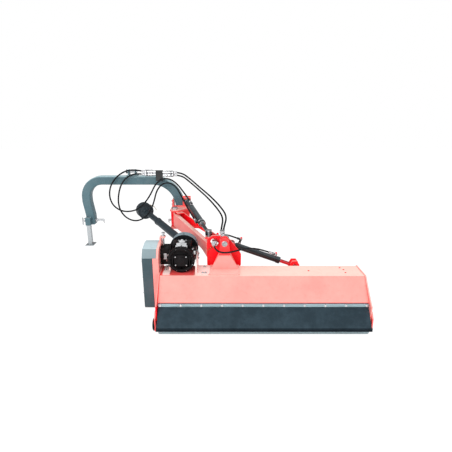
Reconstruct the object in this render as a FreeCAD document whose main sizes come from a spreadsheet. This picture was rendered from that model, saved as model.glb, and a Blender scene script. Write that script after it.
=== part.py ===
import FreeCAD, Part
import Sketcher
import math
import os
from FreeCAD import Placement, Rotation, Vector

# Offset verge flail mower on a three-point arch.  +X is the mower's right, +Y the direction of
# travel, +Z up.  The origin is on the ground under the middle of the bounding box.  Places are
# given in the mowing head's own frame (middle of the head, rear roller's axis, ground), which
# head_x and head_y set in the row's frame.

SIZES = [
    ("head_x", 438.1), ("head_y", -664.5),
    # mowing head: housing, side plates, roller and flap
    ("working_width", 1450.0), ("left_reach", 725.0), ("side_wall", 8.0), ("housing_wall", 6.0),
    ("deck_height", 360.0), ("deck_rear_y", 150.0), ("deck_front_y", 335.0),
    ("lip_y", 29.0), ("lip_low", 180.0), ("lip_high", 215.0),
    ("brow_y", 425.0), ("brow_height", 250.0), ("front_y", 480.0), ("front_high", 205.0),
    ("front_low", 165.0), ("plate_front_y", 512.0),
    ("side_rise", 4.0), ("skid_front_y", 440.0), ("shoe_width", 22.0), ("shoe_height", 10.0),
    ("roller_radius", 57.0), ("roller_gap", 11.0), ("roller_wall", 5.0), ("stub_radius", 15.0),
    ("roller_bracket_wall", 8.0), ("strip_gap", 4.0), ("strip_low", 189.0),
    ("strip_height", 23.0), ("strip_bolt_margin", 16.0),
    ("strip_wall", 6.0), ("flap_wall", 6.0), ("flap_low", 76.0), ("flap_lean", 103.0),
    ("flap_gap", 5.0), ("bolt_radius", 5.0), ("strip_bolt_count", 11), ("front_flap_count", 12),
    ("front_flap_gap", 8.0),
    # rotor
    ("rotor_y", 250.0), ("rotor_height", 185.0), ("rotor_tube_radius", 45.0),
    ("rotor_gap", 31.0), ("rotor_shaft_radius", 20.0), ("lug_pin_radius", 90.0),
    ("flail_length", 66.0), ("flail_width", 28.0), ("flail_wall", 12.0), ("flails_per_row", 10),
    ("flail_margin", 75.0), ("lug_wall", 6.0), ("bearing_radius", 55.0), ("bearing_depth", 24.0),
    # gearbox, belt drive and tensioner
    ("gearbox_x", -574.0), ("gearbox_y", 320.0), ("gearbox_gap", 12.5), ("gearbox_pitch", 5.0),
    ("gear_cover_radius", 98.0), ("gear_cover_depth", 24.0), ("gear_case_radius", 80.0),
    ("gear_case_rear", 100.0), ("gear_case_front", 60.0), ("output_radius", 46.0),
    ("gear_nose_radius", 56.0), ("gear_nose_depth", 16.0),
    ("foot_plate_wall", 10.0), ("foot_x", -472.0), ("foot_width", 92.0), ("foot_wall", 8.0),
    ("guard_radius", 104.0), ("guard_wall", 4.0), ("guard_start", 84.0), ("guard_rib", 8.0),
    ("guard_end", 152.0), ("side_boss_radius", 58.0), ("foot_boss_radius", 50.0),
    ("front_boss_radius", 40.0), ("joint_hub_radius", 29.0), ("left_foot_dx", 92.0),
    ("input_radius", 17.5), ("joint_reach", 165.0),
    ("belt_case_depth", 42.0), ("belt_cover_depth", 75.0), ("case_wall", 5.0), ("cover_wall", 4.0),
    ("upper_case_radius", 86.0), ("lower_case_radius", 70.0), ("case_hip", 8.0), ("case_upper_depth", 16.0),
    ("case_drop", 28.0),
    ("tab_height", 130.0), ("tensioner_radius", 7.0),
    ("upper_pulley_radius", 64.0), ("lower_pulley_radius", 48.0), ("pulley_width", 54.0),
    ("belt_wall", 9.0), ("belt_clearance", 0.3), ("pulley_x", -790.0),
    ("running_fit", 0.05), ("soft_gap", 0.3),
    # head pivot, turret and tilt cylinder
    ("pivot_x", -265.0), ("pivot_height", 563.0), ("pivot_radius", 18.0), ("ear_rear_y", 258.0),
    ("ear_wall", 18.0), ("ear_radius", 31.0), ("trapezoid_wall", 8.0), ("ear_front_y", 312.0),
    ("hub_radius", 34.0), ("turret_y", 378.0),
    ("turret_wall", 14.0), ("turret_hole_radius", 31.0),
    ("tilt_base_dx", 54.0), ("tilt_base_drop", 69.0), ("tilt_line_y", 445.0),
    ("tilt_lug_dx", 544.0), ("tilt_lug_drop", 245.0), ("lug_gap", 40.0), ("clevis_wall", 12.0),
    ("cylinder_radius", 24.0), ("tilt_barrel_length", 395.0), ("cylinder_pin_radius", 12.5),
    ("piston_rod_radius", 14.0), ("eye_radius", 24.0), ("tilt_piston_rest", 265.0),
    ("slot_play", 2.3), ("slot_length", 54.0), ("slot_lean", 104.2),
    ("slot_shift", 3.8),
    # swing arm and swing cylinder
    ("swing_x", -723.0), ("swing_y", 1050.0), ("arm_angle", 28.35), ("swing_pin_radius", 20.0),
    ("hinge_top", 623.0), ("hinge_low", 452.0), ("hinge_wall", 12.0), ("arm_hub_radius", 38.0),
    ("arm_wall", 10.0), ("near_side", -30.0), ("far_side", 45.0), ("flange_width", 36.0),
    ("anchor_x", -620.0), ("anchor_y", 1120.0), ("anchor_height", 690.0),
    ("swing_rod_x", -386.0), ("swing_rod_y", 420.0), ("swing_rod_height", 588.0),
    ("swing_barrel_length", 560.0), ("swing_barrel_radius", 26.0), ("open_play", 6.4),
    ("swing_piston_rest", 430.0), ("swing_shelf_drop", 33.0), ("arm_flange_wall", 9.0),
    ("near_plate_reach", 760.0), ("far_plate_reach", 800.0),
    # arch frame and hitch
    ("arch_y", 1200.0), ("arch_tube", 80.0), ("arch_wall", 6.0), ("arch_top", 907.0),
    ("arch_left", -1572.0), ("arch_right", -691.0), ("left_bend", 160.0), ("right_bend", 250.0),
    ("arch_lean", 20.0), ("arch_foot_height", 90.0), ("arch_knee", 664.0),
    ("left_leg_low", 440.0), ("right_leg_low", 452.0),
    ("link_pin_radius", 11.0), ("link_pin_length", 80.0), ("link_pin_height", 478.0),
    ("top_pin_radius", 9.5), ("top_pin_height", 946.0), ("top_ear_gap", 52.0), ("top_pin_x", -1128.0),
    ("stand_x", -1562.0), ("stand_side", 36.0), ("stand_foot", 250.0),
    ("stand_length", 262.0), ("socket_wall", 5.0), ("socket_low", 446.0), ("socket_height", 74.0),
    # driveshaft and hoses
    ("shaft_yaw", 31.0), ("shaft_rise", 4.1), ("shaft_length", 955.0), ("shaft_tube_radius", 31.0),
    ("inner_tube_radius", 26.0), ("hose_radius", 7.0),
    ("short_hose_radius", 6.0), ("port_radius", 9.0), ("port_elbow", 30.0),
]


class Size:
    """A value from the sheet together with the expression that gives it."""

    def __init__(self, value, text):
        self.value = float(value)
        self.text = text

    def __float__(self):
        return self.value

    @staticmethod
    def of(other):
        return other if isinstance(other, Size) else Size(other, repr(float(other)))

    def join(self, sign, other, value):
        return Size(value, "(" + self.text + " " + sign + " " + Size.of(other).text + ")")

    def __add__(self, other):
        return self.join("+", other, self.value + float(other))

    def __radd__(self, other):
        return Size.of(other) + self

    def __sub__(self, other):
        return self.join("-", other, self.value - float(other))

    def __rsub__(self, other):
        return Size.of(other) - self

    def __mul__(self, other):
        return self.join("*", other, self.value * float(other))

    def __rmul__(self, other):
        return Size.of(other) * self

    def __truediv__(self, other):
        return self.join("/", other, self.value / float(other))

    def __neg__(self):
        return Size(-self.value, "(0 - " + self.text + ")")


class Sheet:
    """The document's spreadsheet of driving sizes; sheet.name gives a Size."""

    def __init__(self, document):
        self.cells = document.addObject("Spreadsheet::Sheet", "sizes")
        for row, (alias, value) in enumerate(SIZES, start=1):
            self.cells.set("A" + str(row), alias)
            self.cells.set("B" + str(row), str(value))
            self.cells.setAlias("B" + str(row), alias)
        document.recompute()

    def __getattr__(self, alias):
        return Size(self.cells.get(alias), "sizes." + alias)


doc = FreeCAD.newDocument("verge_flail_mower")
S = Sheet(doc)
PARTS = []


# ---- helpers: numbers and places -------------------------------------------------------------

def vector(x, y, z):
    return Vector(float(x), float(y), float(z))


def head_origin():
    return vector(S.head_x, S.head_y, 0)


def cosine(degrees):
    return math.cos(math.radians(float(degrees)))


def sine(degrees):
    return math.sin(math.radians(float(degrees)))


def bind(target, prop, size):
    size = Size.of(size)
    target.setExpression(prop, size.text)


def finish(target, label, place=None):
    """Names a sub-part and puts it in the row's frame."""
    target.Label = label
    place = place or Placement()
    target.Placement = Placement(head_origin(), Rotation()).multiply(place)
    PARTS.append(target)
    return target


def shape_part(label, shape, place=None):
    """A sub-part whose shape is set from Part's own functions."""
    target = doc.addObject("Part::Feature", label)
    target.Shape = shape
    return finish(target, label, place)


# ---- helpers: bodies made of pads and pockets ------------------------------------------------

NORMAL = {"XY_Plane": 1, "XZ_Plane": -1, "YZ_Plane": 1}


class Piece:
    """A PartDesign body; each pad or pocket runs along the normal axis of its plane."""

    def __init__(self, label):
        self.label = label
        self.body = doc.addObject("PartDesign::Body", label)

    def sketch(self, plane, start):
        sketch = self.body.newObject("Sketcher::SketchObject", "outline")
        origin = [item for item in self.body.Origin.OriginFeatures if item.Role == plane][0]
        sketch.AttachmentSupport = [(origin, "")]
        sketch.MapMode = "FlatFace"
        bind(sketch, ".AttachmentOffset.Base.z", Size.of(start) * NORMAL[plane])
        return sketch

    def extrude(self, kind, sketch, length):
        feature = self.body.newObject("PartDesign::" + kind, kind.lower())
        feature.Profile = sketch
        bind(feature, "Length", length)
        along = NORMAL[sketch.AttachmentSupport[0][0].Role] == 1
        feature.Reversed = (not along) if kind == "Pad" else along
        doc.recompute()
        self.body.Tip = feature
        return feature

    def shape(self, kind, plane, outline, start, length):
        sketch = self.sketch(plane, start)
        outline(sketch)
        before = self.volume()
        feature = self.extrude(kind, sketch, length)
        if kind == "Pocket" and not self.volume() < before:
            raise ValueError(self.label + ": a pocket cuts nothing")
        return feature

    def volume(self):
        return self.body.Shape.Volume if not self.body.Shape.isNull() else 0.0

    def pad(self, plane, outline, start, length):
        self.shape("Pad", plane, outline, start, length)
        return self

    def cut(self, plane, outline, start, length):
        self.shape("Pocket", plane, outline, start, length)
        return self

    def round(self, radius, across, corners):
        """Rounds the edges that run along the given axis through the given corners."""
        names = []
        for number, edge in enumerate(self.body.Shape.Edges, start=1):
            ends = [vertex.Point for vertex in edge.Vertexes]
            if len(ends) == 2 and on_corner(ends, across, corners):
                names.append("Edge" + str(number))
        base = self.body.Tip
        fillet = self.body.newObject("PartDesign::Fillet", "corner")
        fillet.Base = (base, names)
        bind(fillet, "Radius", radius)
        doc.recompute()
        self.body.Tip = fillet
        return self

    def done(self, place=None):
        return finish(self.body, self.label, place)


def on_corner(ends, across, corners):
    flat = {"X": lambda p: (p.y, p.z), "Y": lambda p: (p.x, p.z), "Z": lambda p: (p.x, p.y)}[across]
    if math.dist(flat(ends[0]), flat(ends[1])) > 1e-4:
        return False
    return any(math.dist(flat(ends[0]), (float(u), float(v))) < 1e-3 for u, v in corners)


def polygon(*points):
    """An outline of straight lines, each corner held by two dimensions from the origin."""
    def draw(sketch):
        flat = [vector(u, v, 0) for u, v in points]
        count = len(flat)
        for index in range(count):
            sketch.addGeometry(Part.LineSegment(flat[index], flat[(index + 1) % count]))
        for index in range(count):
            sketch.addConstraint(Sketcher.Constraint("Coincident", index, 2, (index + 1) % count, 1))
        for index, point in enumerate(points):
            for kind, value in zip(("DistanceX", "DistanceY"), point):
                value = Size.of(value)
                number = sketch.addConstraint(
                    Sketcher.Constraint(kind, -1, 1, index, 1, value.value))
                sketch.setExpression("Constraints[" + str(number) + "]", value.text)
    return draw


def circle(u, v, radius):
    """A round outline held by its centre's place and its radius."""
    def draw(sketch):
        ring = sketch.addGeometry(Part.Circle(vector(u, v, 0), Vector(0, 0, 1), float(radius)))
        for kind, value in (("DistanceX", u), ("DistanceY", v)):
            value = Size.of(value)
            number = sketch.addConstraint(Sketcher.Constraint(kind, -1, 1, ring, 3, value.value))
            sketch.setExpression("Constraints[" + str(number) + "]", value.text)
        number = sketch.addConstraint(Sketcher.Constraint("Radius", ring, float(radius)))
        sketch.setExpression("Constraints[" + str(number) + "]", Size.of(radius).text)
    return draw


def rectangle(u0, v0, u1, v1):
    return polygon((u0, v0), (u1, v0), (u1, v1), (u0, v1))


def fixed(edges):
    """An outline of ready-made lines and arcs, held where they are."""
    def draw(sketch):
        for edge in edges:
            number = sketch.addGeometry(edge)
            sketch.addConstraint(Sketcher.Constraint("Block", number))
    return draw


def belt_outline(first, first_radius, second, second_radius):
    """Two round ends joined by their outer tangents, as a belt lies around two pulleys."""
    a, b = vector(first[0], first[1], 0), vector(second[0], second[1], 0)
    ra, rb = float(first_radius), float(second_radius)
    run = b - a
    turn = math.atan2(run.y, run.x)
    tilt = math.acos((ra - rb) / run.Length)
    left = Vector(math.cos(turn + tilt), math.sin(turn + tilt), 0)
    right = Vector(math.cos(turn - tilt), math.sin(turn - tilt), 0)
    back = Vector(-math.cos(turn), -math.sin(turn), 0)
    a_arc = Part.Arc(a + left * ra, a + back * ra, a + right * ra)
    b_arc = Part.Arc(b + right * rb, b - back * rb, b + left * rb)
    return [a_arc, Part.LineSegment(a + right * ra, b + right * rb), b_arc,
            Part.LineSegment(b + left * rb, a + left * ra)]


def slot_outline(u, v, radius, length, angle):
    half = (float(length) - 2 * float(radius)) / 2
    du, dv = half * cosine(angle), half * sine(angle)
    return belt_outline((float(u) - du, float(v) - dv), radius, (float(u) + du, float(v) + dv), radius)


def offset_band(points, wall):
    """The closed outline of a bent sheet: a path and the same path moved sideways by the wall."""
    path = [vector(u, v, 0) for u, v in points]
    inner = []
    for index, point in enumerate(path):
        before = (point - path[index - 1]).normalize() if index else None
        after = (path[index + 1] - point).normalize() if index + 1 < len(path) else None
        first, second = before or after, after or before
        bisector = side_of(first) + side_of(second)
        bisector.normalize()
        inner.append(point + bisector * (float(wall) / bisector.dot(side_of(first))))
    ring = path + inner[::-1]
    return [Part.LineSegment(ring[i], ring[(i + 1) % len(ring)]) for i in range(len(ring))]


def side_of(direction):
    return Vector(direction.y, -direction.x, 0)


# ---- helpers: plain shapes for groups, turned pieces and hoses -------------------------------

def hex_bolt(point, direction, radius, grip):
    """Hexagon head with its washer face at the point and its shank running back into the work."""
    outward = Vector(*direction)
    shank = Part.makeCylinder(radius, grip, point, outward * -1)
    corners = []
    across = Rotation(Vector(0, 0, 1), outward)
    for step in range(7):
        corner = Vector(1.8 * radius * cosine(60 * step), 1.8 * radius * sine(60 * step), 0)
        corners.append(point + across.multVec(corner))
    head = Part.Face(Part.makePolygon(corners)).extrude(outward * (1.3 * radius))
    return head.fuse(shank).removeSplitter()


def tube_route(points, radius):
    """A round tube along straight runs joined by tangent arcs as large as the runs allow."""
    points = [Vector(*point) for point in points]
    edges, start, least = [], points[0], None
    for index in range(1, len(points) - 1):
        before, corner, after = points[index - 1], points[index], points[index + 1]
        back, ahead = before - corner, after - corner
        reach = 0.45 * min(back.Length, ahead.Length)
        turn = math.pi - back.getAngle(ahead)
        bend = reach / math.tan(turn / 2)
        least = bend if least is None else min(least, bend)
        back.normalize()
        ahead.normalize()
        first, last = corner + back * reach, corner + ahead * reach
        inward = (back + ahead).normalize()
        centre = corner + inward * math.hypot(bend, reach)
        edges.append(Part.LineSegment(start, first).toShape())
        edges.append(Part.Arc(first, centre - inward * bend, last).toShape())
        start = last
    edges.append(Part.LineSegment(start, points[-1]).toShape())
    path = Part.Wire(edges)
    section = Part.Wire(Part.makeCircle(radius, points[0], points[1] - points[0]))
    tube = path.makePipeShell([section], True, False)
    ideal = math.pi * radius ** 2 * path.Length
    print("route: least bend %.0f mm, length %.0f mm, volume ratio %.4f"
          % (least, path.Length, tube.Volume / ideal))
    return tube


# ---- driving places ---------------------------------------------------------------------------

LEFT = -1 * S.left_reach
RIGHT = LEFT + S.working_width
MIDDLE = (LEFT + RIGHT) / 2
LEFT_OUT = LEFT - S.side_wall
RIGHT_OUT = RIGHT + S.side_wall
GEARBOX_Z = S.deck_height + S.gear_cover_radius + S.gearbox_gap
ROTOR = (S.rotor_y, S.rotor_height)
PIVOT = (S.pivot_x, S.pivot_height)
TILT_BASE = (S.pivot_x + S.tilt_base_dx, S.pivot_height - S.tilt_base_drop)
TILT_LUG = (S.pivot_x + S.tilt_lug_dx, S.pivot_height - S.tilt_lug_drop)
HOUSING = [(S.lip_y, S.lip_low), (S.lip_y, S.lip_high), (S.deck_rear_y, S.deck_height),
           (S.deck_front_y, S.deck_height), (S.brow_y, S.brow_height), (S.front_y, S.front_high),
           (S.front_y, S.front_low)]
LUG_REAR = S.tilt_line_y - S.lug_gap / 2 - S.clevis_wall
LUG_FRONT = S.tilt_line_y + S.lug_gap / 2
CASE_X = LEFT_OUT - S.belt_case_depth
COVER_X = CASE_X - S.belt_cover_depth
SHAFT_BORE = S.rotor_shaft_radius + S.running_fit
FLAP_ROD = (S.front_y + 14, S.front_low + 17)


def gear_place():
    return Placement(vector(S.gearbox_x, S.gearbox_y, GEARBOX_Z),
                     Rotation(Vector(1, 0, 0), float(S.gearbox_pitch)))


def arm_place():
    """The arm's own frame: +X from the swing pin towards the turret, +Z up."""
    return Placement(vector(S.swing_x, S.swing_y, 0),
                     Rotation(Vector(0, 0, 1), float(S.arm_angle) - 90))


def strip_bolt_points():
    count = int(float(S.strip_bolt_count))
    pitch = (S.working_width - 2 * (S.strip_gap + S.strip_bolt_margin)) / (count - 1)
    height = S.strip_low + S.strip_height / 2
    return [(MIDDLE + pitch * (index - (count - 1) / 2), height) for index in range(count)]


def circles(points, radius):
    def draw(sketch):
        for u, v in points:
            circle(u, v, radius)(sketch)
    return draw


def mirrored_pair(label, body):
    """The body and its mirror image across the head's middle plane, as one group."""
    image = doc.addObject("Part::Mirroring", label + "_image")
    image.Source = body
    image.Base = vector(MIDDLE, 0, 0)
    image.Normal = Vector(1, 0, 0)
    pair = doc.addObject("Part::Compound", label)
    pair.Links = [body, image]
    return finish(pair, label)


# ---- mowing head ------------------------------------------------------------------------------

def make_housing():
    piece = Piece("housing_shell")
    piece.pad("YZ_Plane", fixed(offset_band(HOUSING, S.housing_wall)), LEFT, S.working_width)
    piece.cut("XZ_Plane", circles(strip_bolt_points(), S.bolt_radius), S.lip_y - 1, S.housing_wall + 2)
    piece.done()


def side_outline():
    rise = S.side_rise
    return [(-18, 100), (-18, 208), (S.lip_y - 10, S.lip_high + 22),
            (S.deck_rear_y - 3, S.deck_height + rise), (S.deck_front_y + 2, S.deck_height + rise),
            (S.brow_y + 8, S.brow_height + rise),
            (S.plate_front_y, S.front_high), (S.plate_front_y, 60),
            (S.skid_front_y, S.shoe_height), (75, S.shoe_height), (58, 30), (58, 92)]


def make_side_plate(label, side):
    piece = Piece(label)
    start = RIGHT if side > 0 else LEFT_OUT
    shoe = RIGHT - 7 if side > 0 else LEFT + 7 - S.shoe_width
    outline = side_outline()
    piece.pad("YZ_Plane", polygon(*outline), start, S.side_wall)
    piece.round(12, "X", [outline[0], outline[11]])
    piece.round(30, "X", [outline[6], outline[7], outline[8]])
    piece.pad("YZ_Plane", rectangle(78, 0, S.skid_front_y - 12, S.shoe_height), shoe, S.shoe_width)
    piece.cut("YZ_Plane", circle(*ROTOR, S.rotor_shaft_radius + 4), start, S.side_wall)
    piece.cut("YZ_Plane", circle(*FLAP_ROD, 8 + S.running_fit), start, S.side_wall)
    piece.done()


def make_roller_brackets():
    piece = Piece("roller_bracket_right")
    outline = [(-38, 24), (-38, 128), (-12, 166), (112, 166), (112, 96), (62, 62), (38, 24)]
    piece.pad("YZ_Plane", polygon(*outline), RIGHT_OUT, S.roller_bracket_wall)
    piece.round(20, "X", [outline[0], outline[2], outline[6]])
    piece.round(10, "X", [outline[3], outline[4]])
    piece.cut("YZ_Plane", circle(0, S.roller_radius, S.stub_radius + S.running_fit), RIGHT_OUT,
              S.roller_bracket_wall)
    mirrored_pair("roller_brackets", piece.body)


def make_roller():
    piece = Piece("rear_roller")
    start, wall = LEFT + S.roller_gap, S.roller_wall
    length = S.working_width - 2 * S.roller_gap
    centre = (0, S.roller_radius)
    stub = S.roller_bracket_wall + 4
    piece.pad("YZ_Plane", circle(*centre, S.roller_radius), start, length)
    piece.cut("YZ_Plane", circle(*centre, S.roller_radius - wall), start + 2 * wall, length - 4 * wall)
    piece.pad("YZ_Plane", circle(*centre, S.stub_radius), LEFT_OUT - stub, RIGHT_OUT - LEFT_OUT + 2 * stub)
    piece.done()


def make_flap():
    face = S.lip_y - S.flap_wall
    path = [(face - S.flap_lean, S.flap_low), (face, S.strip_low), (face, S.strip_low + S.strip_height)]
    piece = Piece("rubber_flap")
    piece.pad("YZ_Plane", fixed(offset_band(path, S.flap_wall)), LEFT + S.flap_gap,
              S.working_width - 2 * S.flap_gap)
    piece.cut("XZ_Plane", circles(strip_bolt_points(), S.bolt_radius), face - 1, S.flap_wall + 2)
    piece.done()


def make_strip():
    piece = Piece("flap_strip")
    near = S.lip_y - S.flap_wall - S.strip_wall
    left, right = LEFT + S.strip_gap, RIGHT - S.strip_gap
    face = rectangle(left, S.strip_low, right, S.strip_low + S.strip_height)
    piece.pad("XZ_Plane", face, near, S.strip_wall)
    piece.cut("XZ_Plane", circles(strip_bolt_points(), S.bolt_radius), near, S.strip_wall)
    piece.done()


def make_bolts():
    near = S.lip_y - S.flap_wall - S.strip_wall
    grip = float(S.lip_y + S.housing_wall - near)
    radius = float(S.bolt_radius)
    bolts = [hex_bolt(vector(x, near, z), (0, -1, 0), radius, grip) for x, z in strip_bolt_points()]
    shape_part("flap_bolts", Part.makeCompound(bolts))


def make_front_flaps():
    """Guard flaps that hang on one rod across the mouth in front of the rotor."""
    y, z = FLAP_ROD
    count = int(float(S.front_flap_count))
    start = LEFT + S.roller_gap
    width = (S.working_width - 2 * S.roller_gap) / count
    piece = Piece("front_flaps")
    piece.pad("YZ_Plane", circle(y, z, 8), LEFT_OUT - 3, RIGHT_OUT - LEFT_OUT + 6)
    for index in range(count):
        piece.pad("YZ_Plane", rectangle(y - 4, z - 132, y + 4, z), start + width * index,
                  width - S.front_flap_gap)
    piece.done()


def make_pivot_bracket():
    """Foot plate, two ears on the turret's pivot, and a trapezoid against the rear ear."""
    x, z = PIVOT
    waist = z - 90
    base = S.deck_height + S.foot_wall / 2
    piece = Piece("pivot_bracket")
    piece.pad("XY_Plane", rectangle(x - 106, S.deck_rear_y + 8, x + 106, S.deck_front_y), S.deck_height,
              S.foot_wall)
    sides = polygon((x - 92, base), (x + 92, base), (x + 41, waist), (x + S.ear_radius, z),
                    (x - S.ear_radius, z), (x - 41, waist))
    for start in (S.ear_rear_y, S.ear_front_y):
        piece.pad("XZ_Plane", sides, start, S.ear_wall)
        piece.pad("XZ_Plane", circle(x, z + 4, S.ear_radius + 1), start, S.ear_wall)
    piece.pad("XZ_Plane", circle(x, z, S.ear_radius - 1), S.ear_rear_y + 1, S.ear_front_y - S.ear_rear_y)
    trapezoid = polygon((x - 104, base), (x + 104, base), (x + 43, waist), (x - 43, waist))
    piece.pad("XZ_Plane", trapezoid, S.ear_rear_y - S.trapezoid_wall, S.trapezoid_wall + 1)
    piece.cut("XZ_Plane", circle(x, z, S.pivot_radius + S.running_fit), S.deck_rear_y, 400)
    piece.done()


def below_housing():
    """The region under the housing's front slope, for seating pieces that stand on it."""
    front = HOUSING[3:]
    return polygon(*front, (S.front_y, 100), (S.deck_front_y, 100))


def make_tilt_lugs():
    """Two ears on the front slope; their slots let the head follow the ground."""
    x, z = TILT_LUG
    slot = (float(x) + float(S.slot_shift) * cosine(S.slot_lean),
            float(z) + float(S.slot_shift) * sine(S.slot_lean))
    radius = S.cylinder_pin_radius + S.slot_play
    piece = Piece("tilt_lugs")
    ear = polygon((x - 62, 150), (x + 62, 150), (x + 34, z + 20), (x + 14, z + 48), (x - 22, z + 48),
                  (x - 38, z + 20))
    piece.pad("XZ_Plane", ear, LUG_REAR, S.clevis_wall)
    piece.pad("YZ_Plane", rectangle(LUG_REAR + 1, 150, LUG_FRONT + 1, z - 58), x - 40, 80)
    piece.pad("XZ_Plane", ear, LUG_FRONT, S.clevis_wall)
    piece.cut("YZ_Plane", below_housing(), x - 80, 160)
    piece.cut("XZ_Plane", fixed(slot_outline(*slot, radius, S.slot_length, S.slot_lean)), LUG_REAR - 1,
              S.lug_gap + S.clevis_wall * 2 + 2)
    piece.done()


# ---- rotor, flails and belt drive -------------------------------------------------------------

ROW_ANGLES = (45, 135, 225, 315)


def flail_x(row, index):
    count = int(float(S.flails_per_row))
    pitch = float(S.working_width - 2 * S.flail_margin) / count
    return float(MIDDLE) + pitch * (index - (count - 1) / 2 + (row - 1.5) / 4)


def pin_place(row, x):
    angle = ROW_ANGLES[row]
    return Vector(x, float(S.rotor_y) + float(S.lug_pin_radius) * cosine(angle),
                  float(S.rotor_height) + float(S.lug_pin_radius) * sine(angle))


def flail_lug(row, x):
    """One lug with the shouldered pin that a flail hangs on."""
    angle, wall, half = ROW_ANGLES[row], float(S.lug_wall), float(S.flail_wall) / 2
    radius = float(S.lug_pin_radius)
    face = x + half + 0.5
    lug = Part.makeBox(wall, radius + 14 - 40, 30, Vector(face, 40, -15))
    lug.rotate(Vector(0, 0, 0), Vector(1, 0, 0), angle)
    lug.translate(vector(0, S.rotor_y, S.rotor_height))
    pin = Part.makeCylinder(8, wall + 2 * half + 1, pin_place(row, x - half - 0.5), Vector(1, 0, 0))
    cap = Part.makeCylinder(12, 4, pin_place(row, x - half - 4.5), Vector(1, 0, 0))
    return [lug, pin, cap]


def make_rotor():
    centre = vector(0, S.rotor_y, S.rotor_height)
    start, length = float(LEFT + S.rotor_gap), float(S.working_width - 2 * S.rotor_gap)
    left = float(S.pulley_x) - float(S.pulley_width) / 2 - 6
    right = float(RIGHT) - 4
    axis = Vector(1, 0, 0)
    tube = Part.makeCylinder(float(S.rotor_tube_radius), length, centre + Vector(start, 0, 0), axis)
    shaft = Part.makeCylinder(float(S.rotor_shaft_radius), right - left, centre + Vector(left, 0, 0), axis)
    pieces = [shaft]
    for row in range(len(ROW_ANGLES)):
        for index in range(int(float(S.flails_per_row))):
            pieces += flail_lug(row, flail_x(row, index))
    shape_part("rotor", tube.multiFuse(pieces))


def flail(row, x):
    """A hammer that hangs straight down from its pin: eye, shank and a heavier toe."""
    pin, half = pin_place(row, x), float(S.flail_wall) / 2
    reach, width = float(S.flail_length), float(S.flail_width)
    corners = [(-9, 0), (-width / 2, -reach * 0.45), (-width / 2, -reach + 5), (-width / 2 + 5, -reach),
               (width / 2 - 5, -reach), (width / 2, -reach + 5), (width / 2, -reach * 0.45), (9, 0)]
    ring = [pin + Vector(-half, y, z) for y, z in corners]
    blade = Part.Face(Part.makePolygon(ring + ring[:1])).extrude(Vector(2 * half, 0, 0))
    eye = Part.makeCylinder(width / 2, 2 * half, pin + Vector(-half, 0, 0), Vector(1, 0, 0))
    hole = Part.makeCylinder(8.3, 2 * half, pin + Vector(-half, 0, 0), Vector(1, 0, 0))
    return blade.fuse(eye).cut(hole)


def make_flails():
    count = int(float(S.flails_per_row))
    for row in range(len(ROW_ANGLES)):
        flails = [flail(row, flail_x(row, index)) for index in range(count)]
        shape_part("flail_row_" + str(row + 1), Part.makeCompound(flails))


def make_bearings():
    piece = Piece("rotor_bearing_right")
    start = RIGHT - S.bearing_depth
    piece.pad("YZ_Plane", circle(*ROTOR, S.bearing_radius), start, S.bearing_depth)
    piece.cut("YZ_Plane", circle(*ROTOR, SHAFT_BORE), start, S.bearing_depth)
    mirrored_pair("rotor_bearings", piece.body)


def drive_outline(extra_upper, extra_lower):
    upper = (float(S.gearbox_y), float(GEARBOX_Z))
    return belt_outline(upper, extra_upper, (float(S.rotor_y), float(S.rotor_height)), extra_lower)


def drive_box(inset):
    """The belt housing's outline: upright at the rear, with flat facets over the upper pulley."""
    upper, lower = S.upper_case_radius - inset, S.lower_case_radius - inset
    y, z = S.gearbox_y, GEARBOX_Z
    rear, front, low = S.rotor_y - lower, S.rotor_y + lower, S.rotor_height - lower - S.case_drop
    return polygon((rear, low + 16), (rear, z + S.case_hip - inset / 2),
                   (y - 1.2 * upper, z + 0.78 * upper), (y - 0.2 * upper, z + upper),
                   (y + 0.4 * upper, z + upper), (y + 1.3 * upper, z + 0.7 * upper),
                   (y + 1.5 * upper, z), (front, low), (rear + 16, low))


def above_hip():
    """The region over the belt housing's upper edge, where its cover reaches the case's back wall."""
    y, z = S.gearbox_y, GEARBOX_Z + S.case_hip
    reach = 2 * S.upper_case_radius
    return rectangle(y - reach, z, y + reach, z + reach)


def below_hip():
    y, z = S.gearbox_y, GEARBOX_Z + S.case_hip
    reach = 2 * S.upper_case_radius
    return rectangle(y - reach, 0, y + reach, z)


def make_belt_case():
    """Red back half of the belt housing: a back wall with a shallow rim, and the tensioner's tab."""
    wall, depth = S.case_wall, S.belt_case_depth
    piece = Piece("belt_case")
    piece.pad("YZ_Plane", drive_box(0), CASE_X, depth)
    piece.cut("YZ_Plane", drive_box(wall), CASE_X, depth - wall)
    piece.cut("YZ_Plane", above_hip(), CASE_X, depth - S.case_upper_depth)
    for centre in (ROTOR, (S.gearbox_y, GEARBOX_Z)):
        piece.cut("YZ_Plane", circle(*centre, S.rotor_shaft_radius + 4), CASE_X, depth)
    y, top = S.gearbox_y, GEARBOX_Z + S.tab_height
    tab = polygon((y - 30, top - 66), (y + 30, top - 66), (y + 22, top), (y - 22, top))
    piece.pad("YZ_Plane", tab, LEFT_OUT - wall, 9)
    piece.pad("XY_Plane", rectangle(LEFT_OUT + 2, y - 22, LEFT_OUT + 34, y + 22), top - 9, 9)
    piece.cut("XY_Plane", circle(LEFT_OUT + 19, y, S.tensioner_radius + S.running_fit), top - 10, 11)
    piece.done()


def make_belt_cover():
    """Grey cover; over the upper pulley it reaches on to the case's back wall."""
    wall, rim = S.cover_wall, S.belt_case_depth - S.case_upper_depth
    piece = Piece("belt_cover")
    piece.pad("YZ_Plane", drive_box(0), COVER_X, S.belt_cover_depth + rim)
    piece.cut("YZ_Plane", drive_box(wall), COVER_X + wall, S.belt_cover_depth + rim - wall)
    piece.cut("YZ_Plane", below_hip(), CASE_X, rim)
    piece.done()


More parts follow.
